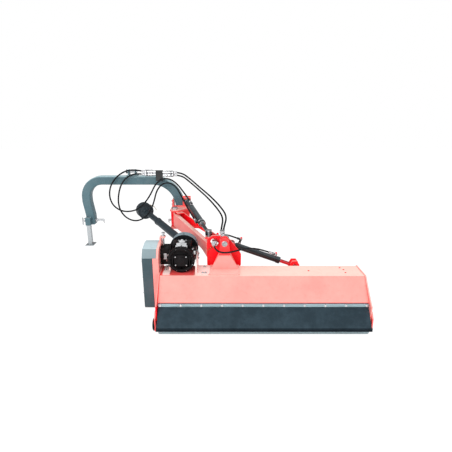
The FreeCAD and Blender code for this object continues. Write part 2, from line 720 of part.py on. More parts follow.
def make_pulleys():
    start = S.pulley_x - S.pulley_width / 2
    lower = Piece("rotor_pulley")
    lower.pad("YZ_Plane", circle(*ROTOR, S.lower_pulley_radius), start, S.pulley_width)
    lower.cut("YZ_Plane", circle(*ROTOR, S.rotor_shaft_radius), start, S.pulley_width)
    lower.done()
    upper = Piece("upper_pulley")
    centre = (S.gearbox_y, GEARBOX_Z)
    upper.pad("YZ_Plane", circle(*centre, S.upper_pulley_radius), start, S.pulley_width)
    upper.pad("YZ_Plane", circle(*centre, S.rotor_shaft_radius), start - 6, S.gearbox_x - 90 - start + 6)
    upper.done()


def make_belts():
    start = S.pulley_x - S.pulley_width / 2
    gap, wall = S.belt_clearance, S.belt_wall
    piece = Piece("drive_belts")
    outer = drive_outline(S.upper_pulley_radius + gap + wall, S.lower_pulley_radius + gap + wall)
    inner = drive_outline(S.upper_pulley_radius + gap, S.lower_pulley_radius + gap)
    piece.pad("YZ_Plane", fixed(outer), start, S.pulley_width)
    piece.cut("YZ_Plane", fixed(inner), start, S.pulley_width)
    piece.done()


def make_tensioner():
    top = GEARBOX_Z + S.tab_height
    radius = float(S.tensioner_radius)
    head = vector(LEFT_OUT + 19, S.gearbox_y, top + 20)
    screw = hex_bolt(head, (0, 0, 1), radius, 88.0)
    nut = hex_bolt(vector(LEFT_OUT + 19, S.gearbox_y, top), (0, 0, 1), radius, 1.0)
    shape_part("tensioner_screw", screw.fuse(nut).removeSplitter())


# ---- gearbox ----------------------------------------------------------------------------------

def make_gearbox():
    piece = Piece("gearbox_housing")
    reach = S.gearbox_x - LEFT_OUT
    nose = S.gear_case_front - S.gear_nose_depth
    piece.pad("XZ_Plane", circle(0, 0, S.gear_case_radius), -S.gear_case_rear, S.gear_case_rear + nose)
    piece.pad("XZ_Plane", circle(0, 0, S.gear_nose_radius), nose, S.gear_nose_depth)
    piece.pad("YZ_Plane", circle(0, 0, S.output_radius), -reach, reach)
    piece.pad("YZ_Plane", circle(0, 0, S.side_boss_radius), -reach, 26)
    piece.pad("YZ_Plane", rectangle(-52, -70, 52, 50), -reach, reach - S.left_foot_dx - 5)
    piece.pad("YZ_Plane", circle(0, 0, S.foot_boss_radius), 0, S.foot_x - S.gearbox_x)
    piece.pad("XZ_Plane", circle(0, 0, S.front_boss_radius), S.gear_case_front,
              S.guard_start + S.guard_rib - S.gear_case_front)
    piece.pad("XY_Plane", rectangle(-34, -62, 34, 22), S.gear_case_radius - 24, 38)
    piece.cut("YZ_Plane", circle(0, 0, SHAFT_BORE), -reach, reach - 88)
    piece.cut("XZ_Plane", circle(0, 0, S.input_radius + S.running_fit), S.gear_case_front - 42, 76)
    piece.done(gear_place())


def make_rear_cover():
    piece = Piece("gearbox_rear_cover")
    near = -1 * (S.gear_case_rear + S.gear_cover_depth)
    piece.pad("XZ_Plane", circle(0, 0, S.gear_cover_radius), near, S.gear_cover_depth)
    piece.pad("XZ_Plane", rectangle(-48, -42, 48, 42), near - 7, 7)
    for u in (-38, 38):
        for v in (-32, 32):
            piece.pad("XZ_Plane", circle(u, v, 8), near - 12, 5)
    piece.done(gear_place())


def make_gearbox_feet():
    y, z = S.gearbox_y, GEARBOX_Z
    top = S.deck_height + S.foot_wall
    near, far = S.deck_rear_y + 16, S.deck_front_y - 6
    right = Piece("gearbox_foot_right")
    side = polygon((near, top - 4), (far, top - 4), (y + 54, z), (y - 40, z), (near, top + 46))
    right.pad("YZ_Plane", side, S.foot_x, S.foot_plate_wall)
    end = S.foot_x + S.foot_width + 8
    right.pad("XY_Plane", rectangle(S.foot_x, near, end, far), S.deck_height, S.foot_wall)
    right.round(16, "Z", [(end, near), (end, far)])
    left = Piece("gearbox_foot_left")
    plate = S.gearbox_x - S.left_foot_dx
    left.pad("YZ_Plane", polygon((near + 60, top - 4), (far, top - 4), (y + 66, z), (y - 66, z)), plate, 10)
    left.pad("YZ_Plane", circle(y, z, 66), plate, 10)
    left.cut("YZ_Plane", circle(y, z, S.output_radius + 0.1), plate, 10)
    left.pad("XY_Plane", rectangle(plate - 40, near, plate + 10, far), S.deck_height, S.foot_wall)
    pair = doc.addObject("Part::Compound", "gearbox_feet")
    pair.Links = [right.body, left.body]
    finish(pair, "gearbox_feet")


def make_guard():
    """Guard tube around the input shaft, closed at the gearbox by a web with a hub and three ribs."""
    start, end, radius = S.guard_start, S.guard_end, S.guard_radius
    piece = Piece("pto_guard")
    piece.pad("XZ_Plane", circle(0, 0, radius), start, end - start)
    piece.pad("XZ_Plane", circle(0, 0, radius + 4), start, S.guard_rib)
    piece.cut("XZ_Plane", circle(0, 0, radius - S.guard_wall), start, end - start)
    piece.pad("XZ_Plane", circle(0, 0, radius - 1), start, S.guard_wall)
    inner = 43.0
    outer = float(radius) - 1
    for step in range(3):
        angle = 90 + 120 * step
        u, v = cosine(angle), sine(angle)
        ring = [Vector(u * r - v * w, v * r + u * w, 0)
                for r, w in ((inner, -7), (outer, -7), (outer, 7), (inner, 7))]
        lines = [Part.LineSegment(ring[i], ring[(i + 1) % 4]) for i in range(4)]
        piece.pad("XZ_Plane", fixed(lines), start, S.guard_rib)
    piece.pad("XZ_Plane", circle(0, 0, 48), start, S.guard_rib)
    piece.cut("XZ_Plane", circle(0, 0, 40 + S.running_fit), start, S.guard_rib)
    piece.done(gear_place())


def make_input_shaft():
    piece = Piece("input_shaft")
    piece.pad("XZ_Plane", circle(0, 0, S.input_radius), S.gear_case_front - 38, 98)
    piece.done(gear_place())


# ---- driveshaft -------------------------------------------------------------------------------

def shaft_frame():
    """Centre of the rear joint, the gearbox's axis and the driveshaft's axis."""
    place = gear_place()
    centre = place.multVec(vector(0, S.joint_reach, 0))
    gear_axis = place.Rotation.multVec(Vector(0, 1, 0))
    level = cosine(S.shaft_rise)
    axis = Vector(-sine(S.shaft_yaw) * level, cosine(S.shaft_yaw) * level, sine(S.shaft_rise))
    return centre, gear_axis, axis


def block(centre, along_axis, side_axis, span, start, end, depth):
    """A bar along one axis, offset to one side, as a fork's arm is."""
    third = along_axis.cross(side_axis)
    turn = Rotation(along_axis, side_axis, third, "XZY")
    bar = Part.makeBox(end - start, span[1] - span[0], depth, Vector(start, span[0], -depth / 2))
    bar.Placement = Placement(centre, turn)
    return bar


def fork(centre, axis, side_axis, start, end):
    arms = [block(centre, axis, side_axis, (22, 36), start, end, 34),
            block(centre, axis, side_axis, (-36, -22), start, end, 34)]
    root = start if abs(start) > abs(end) else end
    low, high = sorted((root, root * 0.8))
    arms.append(block(centre, axis, side_axis, (-36, 36), low, high, 34))
    return arms


def joint_cross(centre, first, second):
    return [Part.makeCylinder(9, 72, centre - direction * 36, direction) for direction in (first, second)]


def make_driveshaft():
    centre, gear_axis, axis = shaft_frame()
    across = gear_axis.cross(axis).normalize()
    second = across.cross(axis).normalize()
    tube, slim = float(S.shaft_tube_radius), float(S.inner_tube_radius)
    length = float(S.shaft_length)
    bore = float(S.input_radius) + float(S.running_fit)
    reach = float(S.joint_reach)
    joint_hub = float(S.joint_hub_radius)
    hub = Part.makeCylinder(joint_hub, 34, centre - gear_axis * 72, gear_axis)
    body = hub.multiFuse(fork(centre, gear_axis, across, -42, 14) + fork(centre, axis, second, -14, 46)
                         + joint_cross(centre, across, second)
                         + [Part.makeCylinder(tube, 540, centre + axis * 44, axis),
                            Part.makeCone(54, 36, 60, centre + axis * 50, axis)])
    shaft_end = float(S.gear_case_front) + 60
    depth = shaft_end - (reach - 72) + 0.4
    body = body.cut(Part.makeCylinder(bore, depth, centre - gear_axis * 72, gear_axis))
    body = body.cut(Part.makeCylinder(slim + 0.3, 290, centre + axis * 300, axis))
    shape_part("driveshaft_rear", body)
    front = centre + axis * length
    travel = Vector(0, 1, 0)
    side = axis.cross(travel).normalize()
    cup = Part.makeCylinder(75, 84, front - axis * 62, axis).cut(
        Part.makeCylinder(71, 80, front - axis * 58, axis))
    hub = Part.makeCylinder(joint_hub, 74, front + travel * 34, travel)
    body = Part.makeCylinder(slim, length - 480, centre + axis * 440, axis)
    body = body.multiFuse([cup, hub] + fork(front, axis, side.cross(axis).normalize(), -48, 14)
                          + fork(front, travel, side, -14, 42)
                          + joint_cross(front, side.cross(axis).normalize(), side))
    body = body.cut(Part.makeCylinder(bore, 60, front + travel * 48, travel))
    shape_part("driveshaft_front", body)


# ---- swing arm and turret ---------------------------------------------------------------------

def beyond_turret():
    """In the arm's frame, everything rearward of the turret plate's front face."""
    lean = sine(S.arm_angle) / cosine(S.arm_angle)
    reach = (S.swing_y - S.turret_y - S.turret_wall) / cosine(S.arm_angle)
    return polygon((reach - 200 * lean, -200), (2000, -200), (2000, 200), (reach + 200 * lean, 200))


def arm_plate(label, outline, side, flange=None):
    """A plate of the arm; its outline goes along the arm from the swing pin, and up."""
    piece = Piece(label)
    piece.pad("XZ_Plane", polygon(*outline), side, S.arm_wall)
    if flange:
        piece.pad("XZ_Plane", polygon(*flange), side, S.flange_width)
    piece.cut("XY_Plane", beyond_turret(), 300, 400)
    piece.done(arm_place())


def make_arm_plates():
    top = S.hinge_top - S.hinge_wall - 8
    low = S.hinge_low + S.hinge_wall + 6
    reach = S.near_plate_reach
    hump, nose = (66, 590), (reach, 521)
    near = [(34, low), (34, top), hump, nose, (reach, 398), (reach - 60, 424), (reach - 115, 446),
            (reach - 200, 458)]
    flange = [hump, nose, (reach, nose[1] - S.arm_flange_wall), (hump[0], hump[1] - S.arm_flange_wall)]
    arm_plate("arm_plate_near", near, S.near_side, flange)
    reach = S.far_plate_reach
    far = [(-20, low + 12), (-20, top), (92, top), (366, 589), (reach - 60, 580), (reach, 566), (reach, 520),
           (600, 545), (430, 545), (300, 515), (190, low + 10)]
    arm_plate("arm_plate_far", far, S.far_side)


def make_arm_hub():
    low = S.hinge_low + S.hinge_wall + S.soft_gap
    high = S.hinge_top - S.hinge_wall - S.soft_gap
    near, far = S.near_side + S.arm_wall, S.far_side
    piece = Piece("arm_hub")
    piece.pad("XY_Plane", circle(0, 0, S.arm_hub_radius), low, high - low)
    web = polygon((-20, near), (120, near), (120, far), (-20, far))
    piece.pad("XY_Plane", web, low + 8, 10)
    piece.pad("XY_Plane", web, high - 10, 9)
    piece.cut("XY_Plane", circle(0, 0, S.swing_pin_radius + S.running_fit), low - 1, high - low + 2)
    piece.done(arm_place())


def make_turret():
    """End plate of the arm with the tilt cylinder's ears and the swing rod's shelf."""
    x, z = PIVOT
    near, front = S.turret_y, S.turret_y + S.turret_wall
    outline = [(x - 134, z - 150), (x - 134, z - 226), (x + 124, z - 226), (x + 124, z - 127),
               (x + 104, z - 92), (x + 15, z + 21), (x - 92, z + 21), (x - 132, z - 8)]
    piece = Piece("turret")
    piece.pad("XZ_Plane", polygon(*outline), near, S.turret_wall)
    piece.round(10, "Y", [outline[3]])
    piece.round(14, "Y", [outline[6], outline[7]])
    piece.round(20, "Y", [outline[1], outline[2]])
    piece.cut("XZ_Plane", circle(x - 76, z - 29, S.turret_hole_radius), near, S.turret_wall)
    bx, bz = TILT_BASE
    piece.pad("XZ_Plane", rectangle(bx - 53, bz - 36, bx - 41, bz + 36), front - 1,
              LUG_FRONT + S.clevis_wall - front + 1)
    for start in (LUG_REAR, LUG_FRONT):
        piece.pad("XZ_Plane", rectangle(bx - 42, bz - 26, bx, bz + 26), start, S.clevis_wall)
        piece.pad("XZ_Plane", circle(bx, bz, 26), start, S.clevis_wall)
    piece.cut("XZ_Plane", circle(bx, bz, S.cylinder_pin_radius), near + 20, 200)
    sx, sy = S.swing_rod_x, S.swing_rod_y
    shelf = S.swing_rod_height - S.swing_shelf_drop
    piece.pad("XY_Plane", rectangle(sx - 26, front - 1, sx + 36, sy + 26), shelf, 12)
    piece.cut("XY_Plane", circle(sx, sy, S.cylinder_pin_radius), shelf - 1, 14)
    piece.done()


def make_pivot_shaft():
    x, z = PIVOT
    start = S.ear_rear_y - 16
    shoulder = S.ear_front_y + S.ear_wall + S.soft_gap
    piece = Piece("tilt_pivot_shaft")
    piece.pad("XZ_Plane", circle(x, z, S.pivot_radius), start, S.turret_y - start)
    piece.pad("XZ_Plane", circle(x, z, S.hub_radius), shoulder, S.turret_y - shoulder)
    piece.pad("XZ_Plane", circle(x, z, 21), S.ear_rear_y - 5 - S.soft_gap, 5)
    piece.done()


def make_arm_pins():
    """The pins that hold the tilt cylinder's base and the swing cylinder's rod end."""
    bx, bz = TILT_BASE
    radius = float(S.cylinder_pin_radius)
    span = float(S.lug_gap + S.clevis_wall * 2) + 4
    tilt = Part.makeCylinder(radius, span, vector(bx, LUG_REAR - 2, bz), Vector(0, 1, 0))
    shelf = S.swing_rod_height - S.swing_shelf_drop
    base = vector(S.swing_rod_x, S.swing_rod_y, shelf - 4)
    swing = Part.makeCylinder(radius, 64, base)
    cap = Part.makeCylinder(24, 6, base + Vector(0, 0, 60))
    shape_part("arm_cylinder_pins", Part.makeCompound([tilt, swing.fuse(cap)]))


# ---- cylinders --------------------------------------------------------------------------------

class Cylinder:
    """A hydraulic cylinder between its base pin and its rod pin."""

    def __init__(self, name, base, tip, eye_axis, radius, barrel):
        self.name, self.base, self.tip, self.eye_axis = name, base, tip, eye_axis
        self.radius, self.barrel = float(radius), float(barrel)
        self.run = (tip - base).normalize()
        self.side = self.run.cross(eye_axis).normalize()
        self.up = self.side.cross(self.run)
        self.ports = []

    def at(self, distance):
        return self.base + self.run * distance

    def port(self, place, direction, reach):
        """Adds an elbowed port and gives the middle of its end face, which looks to the base."""
        radius, elbow = float(S.port_radius), float(S.port_elbow)
        stem = Part.makeCylinder(radius, reach + radius, self.at(place), direction)
        corner = self.at(place + radius) + direction * reach
        self.ports += [stem, Part.makeCylinder(radius, elbow + radius, corner, self.run * -1)]
        return self.at(place - elbow) + direction * reach

    def make_barrel(self, eye_width):
        pin, rod = float(S.cylinder_pin_radius), float(S.piston_rod_radius)
        fit = float(S.running_fit)
        radius, barrel = self.radius, self.barrel
        eye_radius = float(S.eye_radius)
        eye_end = self.base - self.eye_axis * (eye_width / 2)
        eye = Part.makeCylinder(eye_radius, eye_width, eye_end, self.eye_axis)
        body = Part.makeCylinder(radius, barrel - 30, self.at(30), self.run)
        lean = eye_radius * abs(self.run.dot(self.eye_axis))
        neck = Part.makeCylinder(eye_width / 2 - lean - 1, 40, self.base, self.run)
        gland = Part.makeCylinder(radius + 3, 26, self.at(barrel - 26), self.run)
        shell = body.multiFuse([neck, gland, eye] + self.ports)
        shell = shell.cut(Part.makeCylinder(pin + fit, 100, self.base - self.eye_axis * 50, self.eye_axis))
        shell = shell.cut(Part.makeCylinder(radius - 5, barrel - 90, self.at(50), self.run))
        shell = shell.cut(Part.makeCylinder(rod + fit, 60, self.at(barrel - 50), self.run))
        shape_part(self.name + "_barrel", shell)

    def make_rod(self, rest, eye_bore, eye_width):
        """The rod from its piston, which rests at a distance from the base, to its eye."""
        piston = Part.makeCylinder(self.radius - 5 - float(S.running_fit), 20, self.at(rest - 10), self.run)
        length = (self.tip - self.base).Length - rest
        rod = Part.makeCylinder(float(S.piston_rod_radius), length, self.at(rest), self.run)
        end = Part.makeCylinder(eye_bore + 8, eye_width - 2, self.tip - self.eye_axis * (eye_width / 2 - 1),
                                self.eye_axis)
        whole = rod.multiFuse([piston, end])
        whole = whole.cut(Part.makeCylinder(eye_bore, 100, self.tip - self.eye_axis * 50, self.eye_axis))
        shape_part(self.name + "_rod", whole)


def make_tilt_cylinder():
    base = vector(TILT_BASE[0], S.tilt_line_y, TILT_BASE[1])
    tip = vector(TILT_LUG[0], S.tilt_line_y, TILT_LUG[1])
    pin = float(S.cylinder_pin_radius)
    cylinder = Cylinder("tilt", base, tip, Vector(0, 1, 0), S.cylinder_radius, S.tilt_barrel_length)
    ends = {"tilt base": cylinder.port(52, cylinder.side, 60),
            "tilt rod": cylinder.port(cylinder.barrel - 45, cylinder.side, 36)}
    eye_width = float(S.lug_gap) - 2 * float(S.soft_gap)
    cylinder.make_barrel(eye_width)
    cylinder.make_rod(float(S.tilt_piston_rest), pin, eye_width)
    cross = Part.makeCylinder(pin, float(S.lug_gap + S.clevis_wall * 2) + 12,
                              vector(TILT_LUG[0], LUG_REAR - 6, TILT_LUG[1]), Vector(0, 1, 0))
    shape_part("tilt_rod_pin", cross)
    return ends


def make_swing_cylinder():
    base = vector(S.anchor_x, S.anchor_y, S.anchor_height)
    tip = vector(S.swing_rod_x, S.swing_rod_y, S.swing_rod_height)
    pin = float(S.cylinder_pin_radius)
    cylinder = Cylinder("swing", base, tip, Vector(0, 0, 1), S.swing_barrel_radius, S.swing_barrel_length)
    ends = {"swing base": cylinder.port(190, cylinder.up, 38),
            "swing rod": cylinder.port(cylinder.barrel - 45, cylinder.side, 38)}
    cylinder.make_barrel(22)
    cylinder.make_rod(float(S.swing_piston_rest), pin + float(S.open_play), 22)
    anchor = vector(S.anchor_x, S.anchor_y, S.anchor_height - 30)
    shape_part("swing_anchor_pin", Part.makeCylinder(pin, 60, anchor))
    return ends


# ---- arch frame, hinge bracket and hitch ------------------------------------------------------

def arch_path(shift):
    """The arch's outline at a distance outside its centre line, from left foot to right foot."""
    left, right, top = float(S.arch_left), float(S.arch_right), float(S.arch_top) - float(S.arch_tube) / 2
    lean, shift, half = float(S.arch_lean), float(shift), math.sqrt(0.5)
    low_left, low_right = float(S.left_leg_low), float(S.right_leg_low)
    left_bend, right_bend = float(S.left_bend), float(S.right_bend)
    r1, r2 = left_bend + shift, right_bend + shift
    c1 = Vector(left + left_bend, top - left_bend, 0)
    c2 = Vector(right - right_bend, top - right_bend, 0)
    foot = Vector(left + lean - shift, low_left, 0)
    ankle = Vector(left + lean - shift, low_left + float(S.arch_foot_height), 0)
    knee = Vector(left - shift, float(S.arch_knee), 0)
    a1, a2 = c1 + Vector(-r1, 0, 0), c1 + Vector(0, r1, 0)
    b1, b2 = c2 + Vector(0, r2, 0), c2 + Vector(r2, 0, 0)
    return [Part.LineSegment(foot, ankle), Part.LineSegment(ankle, knee), Part.LineSegment(knee, a1),
            Part.Arc(a1, c1 + Vector(-half, half, 0) * r1, a2), Part.LineSegment(a2, b1),
            Part.Arc(b1, c2 + Vector(half, half, 0) * r2, b2),
            Part.LineSegment(b2, Vector(right + shift, low_right, 0))]


def arch_outline(half, lift):
    outer, inner = arch_path(half), arch_path(-half)
    raise_by = Vector(0, lift, 0)
    for path in (outer, inner):
        path[0] = Part.LineSegment(path[0].StartPoint + raise_by, path[0].EndPoint)
        path[-1] = Part.LineSegment(path[-1].StartPoint, path[-1].EndPoint + raise_by)
    ends = [Part.LineSegment(outer[-1].EndPoint, inner[-1].EndPoint),
            Part.LineSegment(inner[0].StartPoint, outer[0].StartPoint)]
    return outer + inner + ends


def make_arch():
    """The bent square tube, closed at both feet."""
    half, wall = float(S.arch_tube) / 2, float(S.arch_wall)
    piece = Piece("arch_frame")
    piece.pad("XZ_Plane", fixed(arch_outline(half, 0)), S.arch_y - S.arch_tube / 2, S.arch_tube)
    piece.cut("XZ_Plane", fixed(arch_outline(half - wall, wall)), S.arch_y - S.arch_tube / 2 + S.arch_wall,
              S.arch_tube - S.arch_wall * 2)
    piece.done()


def make_hinge_bracket():
    """The red weldment on the arch's right leg that carries the swing pin and the cylinder."""
    px, py = S.swing_x, S.swing_y
    rear = S.arch_y - S.arch_tube / 2
    left, right = px - 42, px + 111
    top, low, anchor = S.hinge_top, S.hinge_low, S.anchor_height
    back = rear - S.hinge_wall
    piece = Piece("frame_hinge_bracket")
    outline = polygon((left, low), (right, low), (right + 26, anchor - 40), (right + 26, anchor + 34),
                      (px + 62, anchor + 34), (px + 62, top + 10), (left, top + 10))
    piece.pad("XZ_Plane", outline, back, S.hinge_wall)
    leaf = [(left, back + 1), (left, py - 30), (px - 20, py - 62), (px + 36, py - 62), (right, py + 20),
            (right, back + 1)]
    for start in (low, top - S.hinge_wall):
        piece.pad("XY_Plane", polygon(*leaf), start, S.hinge_wall)
    for start in (anchor + 11.5, anchor - 23.5):
        piece.pad("XY_Plane", rectangle(S.anchor_x - 22, S.anchor_y, right + 26, back + 1), start, 12)
        piece.pad("XY_Plane", circle(S.anchor_x, S.anchor_y, 22), start, 12)
    for x in (S.arch_right - S.arch_tube / 2 - 29, S.arch_right + S.arch_tube / 2):
        piece.pad("XZ_Plane", rectangle(x, top - 24, x + 12, top + 66), back + 1, 102)
    piece.cut("XY_Plane", circle(px, py, S.swing_pin_radius), low - 1, top - low + 2)
    piece.cut("XY_Plane", circle(S.anchor_x, S.anchor_y, S.cylinder_pin_radius), anchor - 40, 80)
    piece.done()


def make_swing_pin():
    base = vector(S.swing_x, S.swing_y, S.hinge_low - 10)
    length = float(S.hinge_top - S.hinge_low) + 10
    pin = Part.makeCylinder(float(S.swing_pin_radius), length, base)
    head = hex_bolt(base + Vector(0, 0, length), (0, 0, 1), 15.0, 5.0)
    shape_part("swing_pin", pin.fuse(head).removeSplitter())


def make_link_pins():
    """The lower link pins, one on each foot of the arch, with their collars."""
    z = float(S.link_pin_height)
    half = float(S.arch_tube) / 2
    length = float(S.link_pin_length)
    pins = []
    for face, turn in ((S.arch_left + S.arch_lean + half, 1), (S.arch_right - half, -1)):
        start, direction = vector(face, S.arch_y, z), Vector(turn, 0, 0)
        pin = Part.makeCylinder(float(S.link_pin_radius), length, start, direction)
        pins.append(pin.fuse(Part.makeCylinder(19, 10, start, direction)))
    shape_part("lower_link_pins", Part.makeCompound(pins))


def make_top_link():
    x, z, half = S.top_pin_x, S.top_pin_height, S.top_ear_gap / 2
    piece = Piece("top_link_bracket")
    y = S.arch_y
    base = S.arch_top
    for start in (x - half - 10, x + half):
        ear = polygon((y - 34, base + 5), (y + 34, base + 5), (y + 22, z), (y - 22, z))
        piece.pad("YZ_Plane", ear, start, 10)
        piece.pad("YZ_Plane", circle(y, z, 22), start, 10)
    piece.pad("XY_Plane", rectangle(x - half - 24, y - 38, x + half + 24, y + 38), base, 8)
    piece.cut("YZ_Plane", circle(y, z, S.top_pin_radius + S.running_fit), x - half - 11, S.top_ear_gap + 22)
    piece.done()
    pin = Part.makeCylinder(float(S.top_pin_radius), float(S.top_ear_gap) + 44,
                            vector(x - half - 22, y, z), Vector(1, 0, 0))
    head = Part.makeCylinder(16, 6, vector(x - half - 16.5, y, z), Vector(1, 0, 0))
    shape_part("top_link_pin", pin.fuse(head))


COUPLERS = [(-1, 0.95), (-1, 0.68), (1, 0.86), (1, 0.6)]
COUPLER_LENGTH = 104


def coupler_end(side, share):
    """Middle of the hose end of a coupler on one side of the block, at a share of its height."""
    face = S.arch_right - (144 if side > 0 else 208)
    height = float(S.arch_top - 38) + 96 * share - 6
    return vector(float(face) + side * COUPLER_LENGTH, S.arch_y - S.arch_tube / 2 - 16, height)


def make_coupler_block():
    x0, x1 = S.arch_right - 208, S.arch_right - 144
    rear = S.arch_y - S.arch_tube / 2
    low = S.arch_top - 38
    piece = Piece("coupler_block")
    piece.pad("XZ_Plane", rectangle(x0, low, x1, low + 96), rear - 32, 32)
    piece.done()
    couplers = []
    for side, share in COUPLERS:
        direction = Vector(side, 0, 0)
        start = coupler_end(side, share) - direction * COUPLER_LENGTH
        sleeve = Part.makeCylinder(12, 34, start, direction)
        collar = Part.makeCylinder(14, 40, start + direction * 34, direction)
        nose = Part.makeCylinder(10, 30, start + direction * 74, direction)
        couplers.append(sleeve.multiFuse([collar, nose]))
    shape_part("hose_couplers", Part.makeCompound(couplers))


def square(x, y, half):
    return rectangle(x - half, y - half, x + half, y + half)


def make_stand():
    """Square parking leg in its socket behind the arch's left foot, and the screw that holds it."""
    side, wall, gap = S.stand_side, S.socket_wall, S.soft_gap
    x = S.stand_x
    y = S.arch_y - S.arch_tube / 2 - wall - gap - side / 2
    outer = side / 2 + gap + wall
    socket = Piece("stand_socket")
    socket.pad("XY_Plane", square(x, y, outer), S.socket_low, S.socket_height)
    socket.cut("XY_Plane", square(x, y, side / 2 + gap), S.socket_low, S.socket_height)
    middle = S.socket_low + S.socket_height / 2
    socket.cut("YZ_Plane", circle(y, middle, 6), x - outer - 1, wall + 2)
    socket.done()
    leg = Piece("parking_stand")
    foot = S.stand_foot
    leg.pad("XY_Plane", square(x, y, side / 2), foot + 8, S.stand_length)
    leg.cut("XY_Plane", square(x, y, side / 2 - 4), foot + 16, S.stand_length - 16)
    leg.pad("XY_Plane", rectangle(x - 38, y - 48, x + 38, y + 48), foot, 8)
    leg.done()
    tip = vector(x - side / 2 - gap, y, middle)
    screw = Part.makeCylinder(6, 34, tip, Vector(-1, 0, 0))
    bar = Part.makeCylinder(5, 70, tip + Vector(-36, 0, -35), Vector(0, 0, 1))
    shape_part("stand_lock_screw", screw.fuse(bar))


# ---- hoses ------------------------------------------------------------------------------------

def make_hose_junction():
    """The block that takes the two loop hoses, and the one that passes through the turret's hole."""
    x, z = PIVOT
    front = S.turret_y + S.turret_wall
    upper = Piece("loop_block")
    upper.pad("XZ_Plane", rectangle(x - 36, z - 30, x, z + 52), front, 40)
    lower = Piece("hole_block")
    lower.pad("XZ_Plane", rectangle(x - 93, z - 72, x - 58, z - 20), front, 8)
    lower.pad("XZ_Plane", rectangle(x - 94, z - 49, x - 58, z - 13), S.turret_y - 26, S.turret_wall + 27)
    pair = doc.addObject("Part::Compound", "hose_junction")
    pair.Links = [upper.body, lower.body]
    finish(pair, "hose_junction")


# The hoses' inner points, in the head's frame, from the first fitting to the last.
LOOP_OUTER = [(-660, 1141, 944), (-582, 1108, 892), (-495, 1040, 830), (-390, 925, 768), (-300, 780, 710),
              (-246, 645, 661), (-274, 520, 598)]
LOOP_INNER = [(-664, 1141, 919), (-590, 1108, 868), (-508, 1042, 812), (-412, 928, 752), (-328, 785, 694),
              (-276, 650, 647), (-292, 520, 598)]
FEED_LEFT = [(-1085, 1143, 972), (-1178, 1132, 962), (-1262, 1120, 905), (-1318, 1112, 825),
             (-1335, 1108, 730), (-1308, 1106, 645), (-1240, 1106, 592), (-1160, 1106, 583),
             (-1078, 1107, 605), (-1008, 1110, 668), (-950, 1104, 748), (-905, 1100, 838),
             (-838, 1100, 898), (-760, 1102, 892), (-697, 1104, 842), (-640, 1085, 770)]
FEED_RIGHT = [(-1080, 1140, 938), (-1155, 1124, 912), (-1212, 1106, 850), (-1242, 1092, 758),
              (-1250, 1084, 662), (-1226, 1080, 580), (-1170, 1080, 520), (-1092, 1080, 498),
              (-1016, 1080, 528), (-951, 1080, 600), (-915, 1082, 695), (-890, 1078, 785),
              (-840, 1072, 850), (-768, 1066, 868), (-700, 1040, 832), (-648, 960, 760), (-590, 850, 690)]
TILT_BASE_HOSE = [(-238, 427, 573)]
TILT_ROD_HOSE = [(-341, 286, 520), (-302, 231, 505), (-234, 231, 504), (-165, 262, 512), (-95, 320, 505),
                 (-25, 388, 478)]


def make_hose(label, start, inner, end, radius, lead=None):
    """A hose; a lead gives the last point before the end, so that it meets the port squarely."""
    last = [end + lead] if lead else []
    points = [head_origin() + Vector(*point) for point in [start] + inner + last + [end]]
    print(label, end=" ")
    tube = tube_route(points, float(radius))
    target = doc.addObject("Part::Feature", label)
    target.Shape = tube
    target.Label = label
    PARTS.append(target)


def make_hoses(ports):
    x, z = PIVOT
    block = float(S.turret_y + S.turret_wall)
    turned = vector(S.swing_rod_x, S.swing_rod_y, S.swing_rod_height)
    turned = (vector(S.anchor_x, S.anchor_y, S.anchor_height) - turned).normalize()
    tilted = vector(TILT_BASE[0] - TILT_LUG[0], 0, TILT_BASE[1] - TILT_LUG[1]).normalize()
    wide, slim = S.hose_radius, S.short_hose_radius
    couplers = [coupler_end(*coupler) for coupler in COUPLERS]
    make_hose("feed_hose_left", couplers[0], FEED_LEFT, ports["swing base"], wide, turned * 80)
    make_hose("feed_hose_right", couplers[1], FEED_RIGHT, ports["swing rod"], wide, turned * 100)
    make_hose("loop_hose_outer", couplers[2], LOOP_OUTER, vector(x - 9, block + 40, z + 35), wide)
    make_hose("loop_hose_inner", couplers[3], LOOP_INNER, vector(x - 27, block + 40, z + 35), wide)
    make_hose("tilt_hose_base", vector(x, block + 33, z + 12), TILT_BASE_HOSE, ports["tilt base"], slim,
              tilted * 36)
    junction = vector(x - 76, S.turret_y - 26, z - 43)
    make_hose("tilt_hose_rod", junction, TILT_ROD_HOSE, ports["tilt rod"], slim,
              tilted * 60)


def build():
    make_housing()
    make_side_plate("side_plate_left", -1)
    make_side_plate("side_plate_right", 1)
    make_roller_brackets()
    make_roller()
    make_flap()
    make_strip()
    make_bolts()
    make_front_flaps()
    make_pivot_bracket()
    make_tilt_lugs()
    make_rotor()
    make_flails()
    make_bearings()
    make_belt_case()
    make_belt_cover()
    make_pulleys()
    make_belts()
    make_tensioner()
    make_gearbox()
    make_rear_cover()
    make_gearbox_feet()
    make_guard()
    make_input_shaft()
    make_driveshaft()
    make_arm_plates()
    make_arm_hub()
    make_turret()
    make_pivot_shaft()
    make_arm_pins()
    ports = make_tilt_cylinder()
    ports.update(make_swing_cylinder())
    make_arch()
    make_hinge_bracket()
    make_swing_pin()
    make_link_pins()
    make_top_link()
    make_coupler_block()
    make_stand()
    make_hose_junction()
    make_hoses(ports)


def check_objects():
    doc.recompute()
    for item in doc.Objects:
        if any(state in ("Invalid", "Error") for state in item.State):
            raise ValueError(item.Label + " failed: " + str(item.State))
    for item in PARTS:
        if item.Shape.isNull() or not item.Shape.isValid():
            raise ValueError(item.Label + " has no valid shape")


def export():
    os.makedirs("parts", exist_ok=True)
    for item in PARTS:
        item.Shape.exportStep(os.path.join("parts", item.Label + ".step"))


